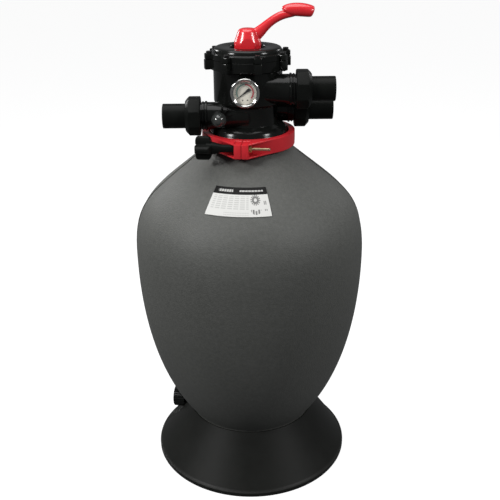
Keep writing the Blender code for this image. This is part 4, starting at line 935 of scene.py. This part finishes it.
brass.feed("Roughness", 0.22 + 0.22 * tarnish)
brass.relief(tarnish, 0.0001, 0.3)
gold_zinc = Finish("yellow zinc", (0.62, 0.52, 0.34), 0.30, Metallic=1.0)
bloom = gold_zinc.noise(300.0, 4.0)
gold_zinc.feed("Base Color", gold_zinc.blend(bloom, (0.50, 0.40, 0.24), (0.74, 0.66, 0.50)))
gold_zinc.feed("Roughness", 0.22 + 0.20 * bloom)
gold_zinc.relief(bloom, 0.0001, 0.3)
settle(stud, "clamp_knob", gold_zinc, "steel", "clamp_stud")

clamp_nut = plate("clamp_brass_nut", [polar(0.0078, radians(60.0 * i)) for i in range(6)], 0.0148, 0.0200)
merge(clamp_nut, turned("nut_crown", [
    (0.0, 0.0142), (0.0066, 0.0146), (0.0080, 0.0156), (0.0080, 0.0192), (0.0066, 0.0202), (0.0, 0.0206)], 48),
      "INTERSECT")
merge(clamp_nut, rod(0.0034, 0.005, 0.035, 32), "DIFFERENCE")
lay(clamp_nut, (0.0, stud_y, stud_z), (1.0, 0.0, 0.0))
shade(lay(clamp_nut, turn=clamp_turn), 26.0)
settle(clamp_nut, "clamp_right", brass, "brass", "clamp_nut")

# ---------------------------------------------------------------- working parts inside
# A steel spring presses the diverter down, and the lever squeezes it as it lifts the diverter; here the spring is
# drawn at rest and fixed to the frame. The rest keeps the frame's own shapes: white PVC pipes and basket, black
# moulded hub and diverter, rubber seals, a brass tube.

pvc = Finish("white pvc", (0.68, 0.68, 0.66), 0.42)
chalk = pvc.noise(60.0, 4.0)
pvc.feed("Base Color", pvc.blend(chalk, (0.62, 0.62, 0.60), (0.74, 0.74, 0.72)))
pvc.feed("Roughness", 0.36 + 0.14 * chalk)
pvc.relief(chalk, 0.0003, 0.2)
spring_low, spring_high, wire = 0.8819, 0.9390, 0.0017
coil = draw("lift_spring", [(0.022 + wire * cos(radians(angle)), 0.0, spring_low + wire * sin(radians(angle)))
                            for angle in range(0, 361, 30)])
bpy.ops.mesh.remove_doubles(threshold=0.000002)
bpy.ops.object.mode_set(mode="OBJECT")
half_turns = 9
modify(coil, "SCREW", angle=pi, steps=18, render_steps=18, iterations=half_turns,
       screw_offset=(spring_high - spring_low) / half_turns, axis="Z", use_merge_vertices=False)
bpy.ops.object.mode_set(mode="EDIT")
bpy.ops.mesh.select_all(action="SELECT")
bpy.ops.mesh.remove_doubles(threshold=0.000002)
bpy.ops.mesh.fill_holes(sides=16)
close_up(coil)
shade(coil, 50.0)
settle(coil, "root", zinc, "steel", "valve_spring")
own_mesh(coil)
rubber = Finish("seal rubber", (0.015, 0.015, 0.015), 0.72)
talc = rubber.noise(420.0, 4.0)
rubber.feed("Base Color", rubber.blend(talc, (0.010, 0.010, 0.010), (0.026, 0.026, 0.026)))
rubber.feed("Roughness", 0.62 + 0.22 * talc)
rubber.relief(talc, 0.0002, 0.4)
inside_finishes = {
    "white_plastic": pvc, "seal_rubber": rubber, "gloss_black": moulded_black, "steel": zinc, "brass": brass}
for part in frame["record"]["subparts"]:
    node = frame["nodes"][part["node"]]
    if not node.hide_render:
        finish = inside_finishes[part["material_slot"]]
        for material_slot in node.material_slots:
            material_slot.material = finish.material
        if not node.material_slots:
            node.data.materials.append(finish.material)
